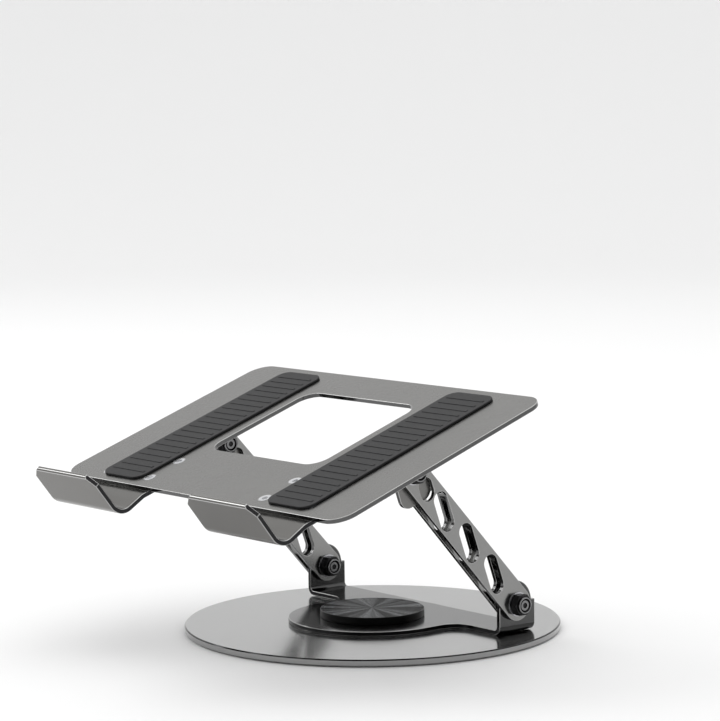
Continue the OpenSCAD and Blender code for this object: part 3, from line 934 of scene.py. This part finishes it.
@dataclass
class Base:
    """The round base plate, its rubber and the spindle with its nut."""

    plate: Extent = field(default_factory=lambda: Extent.of("base_plate"))
    foot: Extent = field(default_factory=lambda: Extent.of("foot_ring"))
    pad: Extent = field(default_factory=lambda: Extent.of("centre_pad"))
    spindle: Extent = field(default_factory=lambda: Extent.of("spindle"))
    slip: Extent = field(default_factory=lambda: Extent.of("slip_ring"))
    edge_chamfer: float = 0.8 * MM
    foot_width: float = 14 * MM
    foot_recess: float = 1.4 * MM
    slip_width: float = 12 * MM
    spindle_radius: float = 6 * MM
    flange_height: float = 1.6 * MM
    tread_count: int = 120
    tread_width: float = 1.6 * MM
    tread_height: float = 0.35 * MM
    tread_inset: float = 1.2 * MM
    plate_round: float = 0.14 * MM
    rubber_round: float = 0.3 * MM
    spindle_round: float = 0.2 * MM
    washer_round: float = 0.12 * MM
    nut_round: float = 0.15 * MM
    plate_steps: int = 288
    foot_steps: int = 192
    ring_steps: int = 128
    hub_steps: int = 72
    round_steps: int = 3

    def build(self) -> None:
        """Builds and dresses every piece of the base."""
        self.build_plate()
        self.build_rubber()
        self.build_hub()

    def build_plate(self) -> None:
        """Lathes the plate, with its recesses and a polished rim."""
        radius, low, top = self.plate.hi.x, self.plate.lo.z, self.plate.hi.z
        foot_out, foot_in = self.foot.hi.x, self.foot.hi.x - self.foot_width
        slip_out, slip_in = self.slip.hi.x, self.slip.hi.x - self.slip_width
        groove = self.slip.lo.z
        pad_top, flange_top = self.pad.hi.z, self.pad.hi.z + self.flange_height
        chamfer = self.edge_chamfer
        outer = rounded([
            (slip_out, groove), (slip_out, top), (radius - chamfer, top), (radius, top - chamfer),
            (radius, low + chamfer), (radius - chamfer, low), (foot_out, low),
            (foot_out, low + self.foot_recess), (foot_in, low + self.foot_recess), (foot_in, low),
            (self.pad.hi.x, low), (self.pad.hi.x, pad_top), (self.spindle.hi.x, pad_top),
            (self.spindle.hi.x, flange_top), (self.spindle_radius, flange_top),
            (self.spindle_radius, top), (slip_in, top), (slip_in, groove),
        ], self.plate_round, self.round_steps)

        def slot_of(middle: Vector) -> int:
            """The rim is polished, and the chamfer above it is painted dark as shade."""
            rim = CUT_SLOT if middle.z > top - chamfer else EDGE_SLOT
            return FACE_SLOT if middle.xy.length < radius - chamfer else rim

        mesh = lathe("base_plate", outer, self.plate_steps, slot_of=slot_of)
        piece = finished("base_plate_disc", mesh, (BASE_SATIN, RIM_STEEL, PAINTED_SHADE_EDGE))
        dress(piece, Body.BASE, Slot.BASE_METAL, "base_plate")

    def build_rubber(self) -> None:
        """Lathes the foot ring and the middle pad, and spreads tread ribs round the ring."""
        outer, inner = self.foot.hi.x, self.foot.hi.x - self.foot_width
        low, high = self.foot.lo.z, self.foot.hi.z
        ring = lathe("foot_ring", rounded([
            (outer, low + self.tread_height), (outer, high), (inner, high),
            (inner, low + self.tread_height),
        ], self.rubber_round), self.foot_steps)
        body = finished("foot_ring_rubber", ring, (SILICONE,))
        dress(body, Body.BASE, Slot.SILICONE, "foot_ring")

        ribs = Spreader("foot_ring_treads", {
            "Count": self.tread_count, "Radius": (outer + inner) / 2,
            "Length": self.foot_width - 2 * self.tread_inset, "Width": self.tread_width,
            "Height": 2 * self.tread_height,
        })
        circle = ribs.node("GeometryNodeMeshCircle", Vertices=ribs.size("Count"),
                           Radius=ribs.size("Radius"))
        bar = ribs.node("GeometryNodeMeshCube", Size=ribs.vector(
            ribs.size("Length"), ribs.size("Width"), ribs.size("Height")))
        turn = ribs.total(FULL_TURN, ribs.size("Count"), "DIVIDE")
        angle = ribs.total(ribs.node("GeometryNodeInputIndex").outputs[0], turn, "MULTIPLY")
        spread = ribs.repeated(circle.outputs[0], bar.outputs[0], Rotation=ribs.vector(z=angle))
        treads = ribs.finish(spread, SILICONE, "foot_ring_treads",
                             Matrix.Translation((0, 0, low + self.tread_height)))
        dress(treads, Body.BASE, Slot.SILICONE)

        disc = lathe("centre_pad", rounded([
            (0, self.pad.lo.z), (self.pad.hi.x, self.pad.lo.z), (self.pad.hi.x, self.pad.hi.z),
            (0, self.pad.hi.z),
        ], self.rubber_round, closed=False), self.ring_steps, closed=False)
        dress(finished("centre_pad_rubber", disc, (SILICONE,)), Body.BASE, Slot.SILICONE, "centre_pad")

    def build_hub(self) -> None:
        """Lathes the spindle, slip ring, washer and wave spring, and rounds the edges of the ring nut."""
        spindle = lathe("spindle", rounded([
            (0, self.spindle.lo.z), (self.spindle.hi.x, self.spindle.lo.z),
            (self.spindle.hi.x, self.spindle.lo.z + self.flange_height),
            (self.spindle_radius, self.spindle.lo.z + self.flange_height),
            (self.spindle_radius, self.spindle.hi.z), (0, self.spindle.hi.z),
        ], self.spindle_round, closed=False), self.hub_steps, closed=False)
        dress(finished("spindle_turned", spindle, (ZINC,)), Body.BASE, Slot.PLATED_STEEL, "spindle")
        ring = self.washer("slip_ring", self.slip.hi.x - self.slip_width, self.ring_steps)
        dress(finished("slip_ring_moulded", ring, (ACETAL_WHITE,)), Body.BASE, Slot.ACETAL, "slip_ring")
        for node, finish in (("hub_washer", ZINC), ("hub_spring", SPRING_STEEL)):
            mesh = self.washer(node, self.spindle_radius, self.hub_steps)
            dress(finished(f"{node}_plate", mesh, (finish,)), Body.BASE, Slot.PLATED_STEEL, node)
        SheetPart("hub_nut", Body.BASE, Slot.PLATED_STEEL, ZINC, ZINC, edge_round=self.nut_round).build()

    def washer(self, node: str, hole: float, steps: int) -> bpy.types.Mesh:
        """Lathes a flat ring that fills a node's box.

        Args:
            node: CAD node to follow.
            hole: Radius of the hole.
            steps: Faces round the ring.

        Returns:
            The ring's mesh.
        """
        size = Extent.of(node)
        return lathe(node, rounded([
            (size.hi.x, size.lo.z), (size.hi.x, size.hi.z), (hole, size.hi.z), (hole, size.lo.z),
        ], self.washer_round, self.round_steps), steps)


# ------------------------------------------------------------------ swivel


@dataclass
class Swivel:
    """The folded yoke with its bush, the spun cap and the screws that hold it."""

    yoke: Extent = field(default_factory=lambda: Extent.of("swivel_yoke"))
    cap: Extent = field(default_factory=lambda: Extent.of("hub_cap"))
    screws: Extent = field(default_factory=lambda: Extent.of("cap_screws"))
    bush: Extent = field(default_factory=lambda: Extent.of("hub_bush"))
    fold_reach: float = 6 * MM
    cap_wall: float = 1.3 * MM
    cap_edge: float = 0.45 * MM
    dish_depth: float = 0.12 * MM
    dish_margin: float = 1.4 * MM
    border_margin: float = 1.1 * MM
    spun_depth: float = 0.2 * MM
    spun_margin: float = 0.4 * MM
    cap_steps: int = 192
    boss_radius: float = 3.5 * MM
    boss_root: float = 0.1 * MM
    boss_round: float = 0.15 * MM
    screw_circle: float = 24.7 * MM
    screw_count: int = 3
    shank_radius: float = 1.25 * MM
    head_radius: float = 2.5 * MM
    screw_steps: int = 32
    spindle_radius: float = 6.05 * MM
    bush_radius: float = 8.05 * MM
    bush_flange: float = 0.6 * MM
    bush_round: float = 0.15 * MM
    bush_steps: int = 72
    ear_front: float = 0.5
    plate_side: float = 0.4

    def build(self) -> None:
        """Builds and dresses every piece of the swivel."""
        # The yoke's sheared edges get the near-black painted shade.
        SheetPart("swivel_yoke", Body.SWIVEL, finish=YOKE_SATIN_SHADED, cut_finish=PAINTED_SHADE_EDGE,
                  is_cut=self.cut_of_yoke).build()
        self.build_cap()
        self.build_bush()
        self.build_screws()

    def cut_of_yoke(self, normal: Vector, middle: Vector) -> bool:
        """Tells the yoke's sheared edges from its faces, on the ears and on the flat plate."""
        on_ear = abs(middle.x) > self.yoke.hi.x - self.fold_reach
        return abs(normal.y) > self.ear_front if on_ear else abs(normal.z) < self.plate_side

    def build_cap(self) -> None:
        """Lathes the cap: a flat spun top with a fine raised border, and a plain skirt."""
        radius, low, top = self.cap.hi.x, self.cap.lo.z, self.cap.hi.z
        roof, dish = top - self.cap_wall, top - self.dish_depth
        shell = rounded([
            (0, dish), (radius - self.dish_margin, dish), (radius - self.border_margin, top),
            (radius, top), (radius, low), (radius - self.cap_wall, low), (radius - self.cap_wall, roof),
            (0, roof),
        ], self.cap_edge, closed=False)

        def slot_of(middle: Vector) -> int:
            """The flat top is spun and the rest is plain."""
            on_top = middle.z > top - self.spun_depth and middle.xy.length < radius - self.spun_margin
            return FACE_SLOT if on_top else EDGE_SLOT

        mesh = lathe("hub_cap", shell, self.cap_steps, closed=False, slot_of=slot_of)
        bosses = []
        for i in range(self.screw_count):
            angle = math.pi / 2 + FULL_TURN * i / self.screw_count
            place = Matrix.Translation((self.screw_circle * math.cos(angle),
                                        self.screw_circle * math.sin(angle), 0))
            bosses.append(lathe(f"boss_{i}", rounded([
                (self.boss_radius, low), (self.boss_radius, roof + self.boss_root),
                (self.shank_radius, roof + self.boss_root), (self.shank_radius, low),
            ], self.boss_round, 2), self.screw_steps, place=place, slot_of=lambda middle: EDGE_SLOT))
        piece = finished("hub_cap_spun", joined("hub_cap", [mesh, *bosses]), (CAP_TOP, CAP_SIDE))
        dress(piece, Body.SWIVEL, Slot.CAP_BLACK, "hub_cap")

    def build_bush(self) -> None:
        """Lathes the flanged bush."""
        low, top = self.bush.lo.z, self.bush.hi.z
        mesh = lathe("hub_bush", rounded([
            (self.bush_radius, low), (self.bush_radius, top - self.bush_flange),
            (self.bush.hi.x, top - self.bush_flange), (self.bush.hi.x, top),
            (self.spindle_radius, top), (self.spindle_radius, low),
        ], self.bush_round, 3), self.bush_steps)
        dress(finished("hub_bush_moulded", mesh, (ACETAL_WHITE,)), Body.SWIVEL, Slot.ACETAL, "hub_bush")

    def build_screws(self) -> None:
        """Spreads the countersunk screws round the cap."""
        low, high = self.screws.lo.z, self.screws.hi.z
        nodes = Spreader("cap_screws", {
            "Count": self.screw_count, "Circle": self.screw_circle, "Shank Radius": self.shank_radius,
            "Head Radius": self.head_radius, "Length": high - low,
        })
        circle = nodes.node("GeometryNodeMeshCircle", Vertices=nodes.size("Count"),
                            Radius=nodes.size("Circle"))
        shank = nodes.node("GeometryNodeMeshCylinder", Vertices=self.screw_steps,
                           Radius=nodes.size("Shank Radius"), Depth=nodes.size("Length"))
        half = nodes.total(nodes.size("Length"), 0.5, "MULTIPLY")
        lifted = nodes.moved(shank.outputs[0], Translation=nodes.vector(z=half))
        head_depth = nodes.total(nodes.size("Head Radius"), nodes.size("Shank Radius"), "SUBTRACT")
        head = nodes.node("GeometryNodeMeshCone", Vertices=self.screw_steps,
                          Radius_Top=nodes.size("Shank Radius"),
                          Radius_Bottom=nodes.size("Head Radius"), Depth=head_depth)
        spread = nodes.repeated(circle.outputs[0], nodes.together(lifted, head.outputs[0]))
        place = Matrix.Translation((0, 0, low)) @ Matrix.Rotation(math.pi / 2, 4, "Z")
        piece = nodes.finish(spread, ZINC, "cap_screws_set", place)
        dress(piece, Body.SWIVEL, Slot.PLATED_STEEL, "cap_screws")


# ------------------------------------------------------------------ pivots


@dataclass
class Pivot:
    """One pivot's bolt, lock nut, friction washers and disc spring."""

    prefix: str
    body: Body
    bolt_radius: float = 4 * MM
    hole_play: float = 0.05 * MM
    friction_thick: float = 0.5 * MM
    nut_flats: float = 13 * MM
    nut_height: float = 5.2 * MM
    collar_radius: float = 5.4 * MM
    collar_lip: float = 0.95 * MM
    lip_drop: float = 0.6 * MM
    lip_round: float = 0.4 * MM
    face_share: float = 0.95
    cone_angle: float = math.radians(30)
    cone_steps: int = 7
    head_height: float = 3.6 * MM
    dome_rise: float = 1.5 * MM
    dome_steps: int = 7
    crown_margin: float = 0.5 * MM
    tip_chamfer: float = 0.7 * MM
    tip_bright: float = 0.05 * MM
    pitch: float = 1.25 * MM
    thread_depth: float = 0.45 * MM
    thread_turns: int = 5
    socket_flats: float = 5 * MM
    socket_depth: float = 2.2 * MM
    dimple_radius: float = 1.8 * MM
    dimple_depth: float = 0.6 * MM
    steps: int = 96
    lip_steps: int = 5
    nut_sharp_deg: float = 24.0
    washer_round: float = 0.12 * MM
    spring_round: float = 0.1 * MM
    spring_sheet: float = 0.6
    washer_steps: int = 64

    def axis(self, part: str) -> tuple[Matrix, Extent]:
        """Where a part of this pivot is turned.

        Args:
            part: Last word of the node's name.

        Returns:
            The matrix that lays the Z axis along +X from the part's low X end, and its box.
        """
        size = Extent.of(f"{self.prefix}_{part}")
        start = Vector((size.lo.x, size.centre.y, size.centre.z))
        return Matrix.Translation(start) @ Matrix.Rotation(math.pi / 2, 4, "Y"), size

    def build(self) -> None:
        """Builds and dresses the pivot's pieces."""
        self.build_bolt()
        self.build_nut()
        self.build_washers()

    def build_bolt(self) -> None:
        """Lathes the bolt: a rounded head with a hexagon socket, a shank and a chamfered tip."""
        place, size = self.axis("bolt")
        length, head = size.size.x, size.size.y / 2
        socket_rim = self.socket_flats / 2 / math.cos(math.pi / 6)
        crown = socket_rim + self.crown_margin
        tip = self.bolt_radius - self.tip_chamfer
        dimple = length - self.dimple_depth
        profile: Profile = [(0, self.socket_depth), (socket_rim, self.socket_depth), (socket_rim, 0.0)]
        for i in range(self.dome_steps + 1):
            angle = math.pi / 2 * i / self.dome_steps
            profile.append((crown + (head - crown) * math.sin(angle),
                            self.dome_rise * (1 - math.cos(angle))))
        profile += [(head, self.head_height), (self.bolt_radius, self.head_height)]
        profile += self.thread(length)
        profile += [(tip, length), (self.dimple_radius, length), (self.dimple_radius, dimple), (0, dimple)]
        cut = hexagon(self.socket_flats)

        def trim(radius: float, angle: float) -> float:
            """Only the socket's walls follow the hexagon."""
            return cut(radius, angle) if radius <= socket_rim + TOUCH else radius

        def slot_of(middle: Vector) -> int:
            """The faced tip is bright, the rest is black."""
            return EDGE_SLOT if middle.z > length - self.tip_bright else FACE_SLOT

        mesh = lathe(f"{self.prefix}_bolt", profile, self.steps, closed=False, trim=trim, place=place,
                     slot_of=slot_of)
        piece = finished(f"{self.prefix}_bolt_black", mesh, (BLACK_STEEL, TIP_STEEL_AND_LIP_SHEEN))
        dress(piece, self.body, Slot.FASTENER_BLACK, f"{self.prefix}_bolt")

    def thread(self, length: float) -> Profile:
        """Ridges of the thread near the tip, which shows inside the nut's collar.

        Args:
            length: Length of the bolt from the top of its head.

        Returns:
            Profile points from the shank to the tip.
        """
        start = length - self.tip_chamfer - self.thread_turns * self.pitch
        points: Profile = [(self.bolt_radius, start)]
        for i in range(self.thread_turns):
            points.append((self.bolt_radius - self.thread_depth, start + (i + 0.5) * self.pitch))
            points.append((self.bolt_radius, start + (i + 1) * self.pitch))
        return points

    def build_nut(self) -> None:
        """Lathes the lock nut: chamfered hexagon, then a round collar with a rolled lip."""
        place, size = self.axis("nut")
        corner = self.nut_flats / 2 / math.cos(math.pi / 6)
        face = self.nut_flats / 2 * self.face_share
        top = size.size.x
        hole = self.bolt_radius
        cone = [(face + (corner - face) * i / self.cone_steps,
                 (corner - face) * i / self.cone_steps * math.tan(self.cone_angle))
                for i in range(self.cone_steps + 1)]
        far_cone = [(radius, self.nut_height - height) for radius, height in reversed(cone)]
        collar = rounded([
            (self.collar_radius, self.nut_height), (self.collar_radius, top),
            (self.collar_radius - self.collar_lip, top), (hole, top - self.lip_drop),
        ], self.lip_round, self.lip_steps, closed=False)
        profile: Profile = [(hole, 0.0), *cone, *far_cone, *collar]

        def slot_of(middle: Vector) -> int:
            """The rolled lip gets the lighter steel as a painted highlight; the rest is black."""
            on_lip = middle.z > top - self.lip_drop and middle.xy.length > hole + self.collar_lip / 2
            return EDGE_SLOT if on_lip else FACE_SLOT

        mesh = lathe(f"{self.prefix}_nut", profile, self.steps, trim=hexagon(self.nut_flats),
                     place=place, slot_of=slot_of)
        piece = finished(f"{self.prefix}_nut_black", mesh, (BLACK_STEEL, TIP_STEEL_AND_LIP_SHEEN),
                         self.nut_sharp_deg)
        dress(piece, self.body, Slot.FASTENER_BLACK, f"{self.prefix}_nut")

    def build_washers(self) -> None:
        """Lathes the two friction washers and the disc spring."""
        hole = self.bolt_radius + self.hole_play
        place, size = self.axis("friction")
        outer = size.size.y / 2
        rings = []
        for start in (0.0, size.size.x - self.friction_thick):
            end = start + self.friction_thick
            rings.append(lathe("ring", rounded([
                (outer, start), (outer, end), (hole, end), (hole, start),
            ], self.washer_round, 2), self.washer_steps, place=place))
        friction = finished(f"{self.prefix}_friction_rings", joined("rings", rings), (FRICTION_BLACK,))
        dress(friction, self.body, Slot.FRICTION_BLACK, f"{self.prefix}_friction")
        place, size = self.axis("spring")
        outer, thick = size.size.y / 2, size.size.x
        disc = lathe("spring", rounded([
            (outer, 0.0), (outer, thick * self.spring_sheet), (hole, thick),
            (hole, thick * (1 - self.spring_sheet)),
        ], self.spring_round, 2), self.washer_steps, place=place)
        spring = finished(f"{self.prefix}_spring_disc", disc, (SPRING_STEEL,))
        dress(spring, self.body, Slot.PLATED_STEEL, f"{self.prefix}_spring")


@dataclass
class Arms:
    """Both slotted arms and the four pivots."""

    wall_side: float = 0.5

    def cut_of_arm(self, normal: Vector, middle: Vector) -> bool:
        """Tells the walls' sheared edges, which do not face sideways, from their faces."""
        return abs(normal.x) < self.wall_side

    def build(self) -> None:
        """Builds and dresses the arms and their pivots."""
        for side, body in ((Side.RIGHT, Body.RIGHT_ARM), (Side.LEFT, Body.LEFT_ARM)):
            SheetPart(f"{side.value}_arm", body, finish=ARM_SATIN, is_cut=self.cut_of_arm).build()
            Pivot(f"{side.value}_lower", body).build()
            Pivot(f"{side.value}_upper", Body.TRAY_PIVOTS).build()


# ------------------------------------------------------------------ tray


@dataclass
class Tray:
    """The tray plate, its hinges, hooks, rivets and silicone pads."""

    tilt: float = math.radians(19)
    rivet_radius: float = 2 * MM
    rivet_head: float = 4 * MM
    rivet_sink: float = 1.6 * MM
    rivet_tail: float = 3.2 * MM
    rivet_tail_height: float = 1.4 * MM
    rivet_tail_share: float = 0.8
    rivet_steps: int = 40
    rib_count: int = 21
    rib_margin: float = 9 * MM
    rib_side: float = 4 * MM
    rib_width: float = 1.8 * MM
    rib_height: float = 0.3 * MM
    pad_round: float = 0.5 * MM
    plate_flat: float = 0.4
    hinge_front: float = 0.6
    hook_side: float = 0.5

    @property
    def frame_of_tray(self) -> Matrix:
        """The tray's own frame.

        Returns:
            Its place on the upper pivot line, with +Y up the tray and +Z away from it.
        """
        joint = next(j for j in frame["joints"] if j["name"] == "tray_tilt")
        _, y, z = joint["pos_m"]
        return Matrix.Translation((0, y, z)) @ Matrix.Rotation(self.tilt, 4, "X")

    def local(self, node: str) -> Extent:
        """The box of a node in the tray's own frame.

        Args:
            node: Name of the CAD node.

        Returns:
            Its extent along and across the tray.
        """
        back = self.frame_of_tray.inverted()
        points = [back @ v.co for v in frame["nodes"][node].data.vertices]
        return Extent(Vector(map(min, *points)), Vector(map(max, *points)))

    def build(self) -> None:
        """Builds and dresses every piece of the tray."""
        SheetPart("tray_plate", Body.TRAY, is_cut=self.cut_of_plate).build()
        for side in Side:
            SheetPart(f"{side.value}_hinge", Body.TRAY, is_cut=self.cut_of_hinge).build()
            # The hooks' sheared sides and cut corners get the near-black painted shade.
            SheetPart(f"{side.value}_hook", Body.TRAY, finish=HOOK_SATIN, cut_finish=PAINTED_SHADE_EDGE,
                      is_cut=self.cut_of_hook).build()
        self.build_rivets("hinge_rivets")
        self.build_rivets("hook_rivets")
        for side in Side:
            self.build_pad(f"{side.value}_tray_pad")
            SheetPart(f"{side.value}_lip_pad", Body.TRAY, Slot.SILICONE, SILICONE, SILICONE).build()

    def cut_of_plate(self, normal: Vector, middle: Vector) -> bool:
        """Tells the plate's sheared edges, which run square to it, from its two faces."""
        return abs(normal.dot(self.frame_of_tray.to_3x3().col[2])) < self.plate_flat

    def cut_of_hinge(self, normal: Vector, middle: Vector) -> bool:
        """Tells a hinge bracket's front and back edges from its faces."""
        return abs(normal.y) > self.hinge_front

    def cut_of_hook(self, normal: Vector, middle: Vector) -> bool:
        """Tells a hook's sheared sides and cut corners from its faces."""
        return abs(normal.x) > self.hook_side

    def build_rivets(self, node: str) -> None:
        """Spreads countersunk rivets on each side of the tray.

        Args:
            node: CAD node that holds the group of rivets.
        """
        size = self.local(node)
        inner = min(abs((self.frame_of_tray.inverted() @ v.co).x)
                    for v in frame["nodes"][node].data.vertices) + self.rivet_head
        outer = size.hi.x - self.rivet_head
        columns = 1 if outer - inner < self.rivet_radius else 2
        nodes = Spreader(node, {
            "Columns": columns, "Inner": inner, "Outer": outer,
            "Run": size.size.y - 2 * self.rivet_head, "Middle": size.centre.y,
            "Shank Radius": self.rivet_radius, "Head Radius": self.rivet_head,
            "Head Depth": self.rivet_sink, "Tail Radius": self.rivet_tail,
            "Tail Depth": self.rivet_tail_height, "Bottom": size.lo.z, "Top": size.hi.z,
        })
        width = nodes.total(nodes.size("Outer"), nodes.size("Inner"), "SUBTRACT")
        centre = nodes.total(nodes.total(nodes.size("Outer"), nodes.size("Inner")), 0.5, "MULTIPLY")
        length = nodes.total(nodes.size("Top"), nodes.size("Bottom"), "SUBTRACT")
        half = nodes.total(nodes.total(nodes.size("Top"), nodes.size("Bottom")), 0.5, "MULTIPLY")
        grid = nodes.node("GeometryNodeMeshGrid", Size_X=width, Size_Y=nodes.size("Run"),
                          Vertices_X=nodes.size("Columns"), Vertices_Y=2)
        right = nodes.moved(grid.outputs[0], Translation=nodes.vector(centre, nodes.size("Middle")))
        left = nodes.moved(right, Rotation=(0.0, math.pi, 0.0))
        shank = nodes.node("GeometryNodeMeshCylinder", Vertices=self.rivet_steps,
                           Radius=nodes.size("Shank Radius"), Depth=length)
        head = nodes.node("GeometryNodeMeshCone", Vertices=self.rivet_steps,
                          Radius_Top=nodes.size("Head Radius"),
                          Radius_Bottom=nodes.size("Shank Radius"), Depth=nodes.size("Head Depth"))
        head_z = nodes.total(nodes.size("Top"), nodes.size("Head Depth"), "SUBTRACT")
        tail_tip = nodes.total(nodes.size("Tail Radius"), self.rivet_tail_share, "MULTIPLY")
        tail = nodes.node("GeometryNodeMeshCone", Vertices=self.rivet_steps,
                          Radius_Top=nodes.size("Tail Radius"), Radius_Bottom=tail_tip,
                          Depth=nodes.size("Tail Depth"))
        rivet = nodes.together(
            nodes.moved(shank.outputs[0], Translation=nodes.vector(z=half)),
            nodes.moved(head.outputs[0], Translation=nodes.vector(z=head_z)),
            nodes.moved(tail.outputs[0], Translation=nodes.vector(z=nodes.size("Bottom"))),
        )
        spread = nodes.repeated(nodes.together(right, left), rivet)
        piece = nodes.finish(spread, ZINC, f"{node}_set", self.frame_of_tray)
        dress(piece, Body.TRAY, Slot.PLATED_STEEL, node)

    def build_pad(self, node: str) -> None:
        """Makes a silicone pad and spreads low ribs across it.

        Args:
            node: CAD node of the pad.
        """
        SheetPart(node, Body.TRAY, Slot.SILICONE, SILICONE, SILICONE, edge_round=self.pad_round).build()
        size = self.local(node)
        run = size.size.y - 2 * self.rib_margin
        ribs = Spreader(f"{node}_ribs", {
            "Count": self.rib_count, "Pitch": run / (self.rib_count - 1),
            "Length": size.size.x - 2 * self.rib_side, "Width": self.rib_width,
            "Height": 2 * self.rib_height,
        })
        line = ribs.node("GeometryNodeMeshLine", Count=ribs.size("Count"),
                         Offset=ribs.vector(y=ribs.size("Pitch")))
        bar = ribs.node("GeometryNodeMeshCube", Size=ribs.vector(
            ribs.size("Length"), ribs.size("Width"), ribs.size("Height")))
        start = Matrix.Translation((size.centre.x, size.lo.y + self.rib_margin, size.hi.z))
        piece = ribs.finish(ribs.repeated(line.outputs[0], bar.outputs[0]), SILICONE, f"{node}_ribs",
                            self.frame_of_tray @ start)
        dress(piece, Body.TRAY, Slot.SILICONE)


# ------------------------------------------------------------------ studio


@dataclass(frozen=True)
class SoftBox:
    """One square light: where it stands, what it faces, its width and its power in watts."""

    name: str
    where: Triple
    aim: Triple
    width: float
    power: float

    def build(self) -> None:
        """Adds the light to the scene."""
        data = bpy.data.lights.new(self.name, "AREA")
        data.shape = "SQUARE"
        data.size = self.width
        data.energy = self.power
        light = bpy.data.objects.new(self.name, data)
        light.location = self.where
        facing = Vector(self.aim) - Vector(self.where)
        light.rotation_euler = facing.to_track_quat("-Z", "Y").to_euler()
        bpy.context.scene.collection.objects.link(light)


SOFT_BOXES = (
    SoftBox("top", (-0.6, 0.4, 2.6), (0.0, 0.0, 0.0), 2.6, 18.0),
    SoftBox("left", (-2.2, -1.2, 1.9), (0.0, 0.0, 0.1), 1.6, 20.0),
)


@dataclass
class Studio:
    """Pale floor that sweeps up all round, with painted shade far out on one side for the metal to mirror,
    soft lights and the camera.
    """

    turn: float = math.radians(49.96)
    pitch: float = math.radians(5.98)
    roll: float = math.radians(-0.72)
    aim_side: float = -6.15 * MM
    aim_height: float = 178.9 * MM
    distance: float = 1794.8 * MM
    lens: float = 136.04
    sensor: float = 36.0
    near: float = 0.05
    far: float = 50.0
    floor_radius: float = 3.2
    sweep_radius: float = 1.6
    sweep_steps: int = 16
    floor_steps: int = 128
    floor_roughness: float = 0.7
    floor_gleam: float = 0.2
    sky_power: float = 0.95
    shade_turn: float = math.radians(-25)
    shade_from: float = 0.9
    pale: Colour = (0.88, 0.88, 0.88)
    shaded: Colour = (0.08, 0.08, 0.08)

    def build(self) -> None:
        """Builds the floor, the lights and the camera."""
        self.build_floor()
        self.build_lights()
        self.build_camera()

    def build_floor(self) -> None:
        """Lathes the floor and its upward sweep, with painted shade far out on one side."""
        profile: Profile = [(0, 0)]
        for i in range(self.sweep_steps + 1):
            angle = math.pi / 2 * i / self.sweep_steps
            profile.append((self.floor_radius + self.sweep_radius * math.sin(angle),
                            self.sweep_radius * (1 - math.cos(angle))))
        mesh = lathe("floor", profile, self.floor_steps, closed=False)
        shader = Shader("pale_floor_with_painted_shade")
        shader.fix(Roughness=self.floor_roughness, Specular_IOR_Level=self.floor_gleam)
        # Painted shade: from shade_from out along shade_turn the floor turns to the shaded colour, so the
        # metal mirrors something dark.
        away = shader.node("ShaderNodeVectorMath", operation="DOT_PRODUCT")
        away.inputs[1].default_value = (math.cos(self.shade_turn), math.sin(self.shade_turn), 0.0)
        shader.link(shader.place(), away.inputs[0])
        shade = shader.spread(away.outputs["Value"], 0.0, 1.0, self.shade_from, self.floor_radius)
        shader.drive(shader.blend(shade, self.pale, self.shaded), "Base Color")
        mesh.materials.append(shader.material)
        mesh.polygons.foreach_set("use_smooth", [True] * len(mesh.polygons))
        floor = bpy.data.objects.new("floor", mesh)
        bpy.context.scene.collection.objects.link(floor)

    def build_lights(self) -> None:
        """Adds soft boxes and an even sky."""
        for box in SOFT_BOXES:
            box.build()
        world = bpy.data.worlds.new("sky")
        world.use_nodes = True
        sky = world.node_tree.nodes["Background"]
        sky.inputs["Color"].default_value = (1.0, 1.0, 1.0, 1.0)
        sky.inputs["Strength"].default_value = self.sky_power
        bpy.context.scene.world = world
        bpy.context.scene.view_settings.view_transform = "Standard"

    def build_camera(self) -> None:
        """Places the camera at the front right, a little above the stand."""
        ahead = Vector((-math.sin(self.turn) * math.cos(self.pitch),
                        math.cos(self.turn) * math.cos(self.pitch), -math.sin(self.pitch)))
        right = Vector((math.cos(self.turn), math.sin(self.turn), 0.0))
        up = right.cross(ahead)
        rolled_right = right * math.cos(self.roll) + up * math.sin(self.roll)
        rolled_up = up * math.cos(self.roll) - right * math.sin(self.roll)
        target = right * self.aim_side + Vector((0, 0, self.aim_height))
        where = target - ahead * self.distance
        data = bpy.data.cameras.new("camera")
        data.lens = self.lens
        data.sensor_width = self.sensor
        data.sensor_fit = "HORIZONTAL"
        data.clip_start, data.clip_end = self.near, self.far
        camera = bpy.data.objects.new("camera", data)
        axes = Matrix((rolled_right, rolled_up, -ahead)).transposed()
        camera.matrix_world = Matrix.Translation(where) @ axes.to_4x4()
        bpy.context.scene.collection.objects.link(camera)
        bpy.context.scene.camera = camera


def main() -> None:
    """Builds the studio and then the stand, from the desk up."""
    logging.basicConfig(level=logging.INFO, format="%(message)s")
    Studio().build()
    Base().build()
    Swivel().build()
    Arms().build()
    Tray().build()


if __name__ == "__main__":
    main()
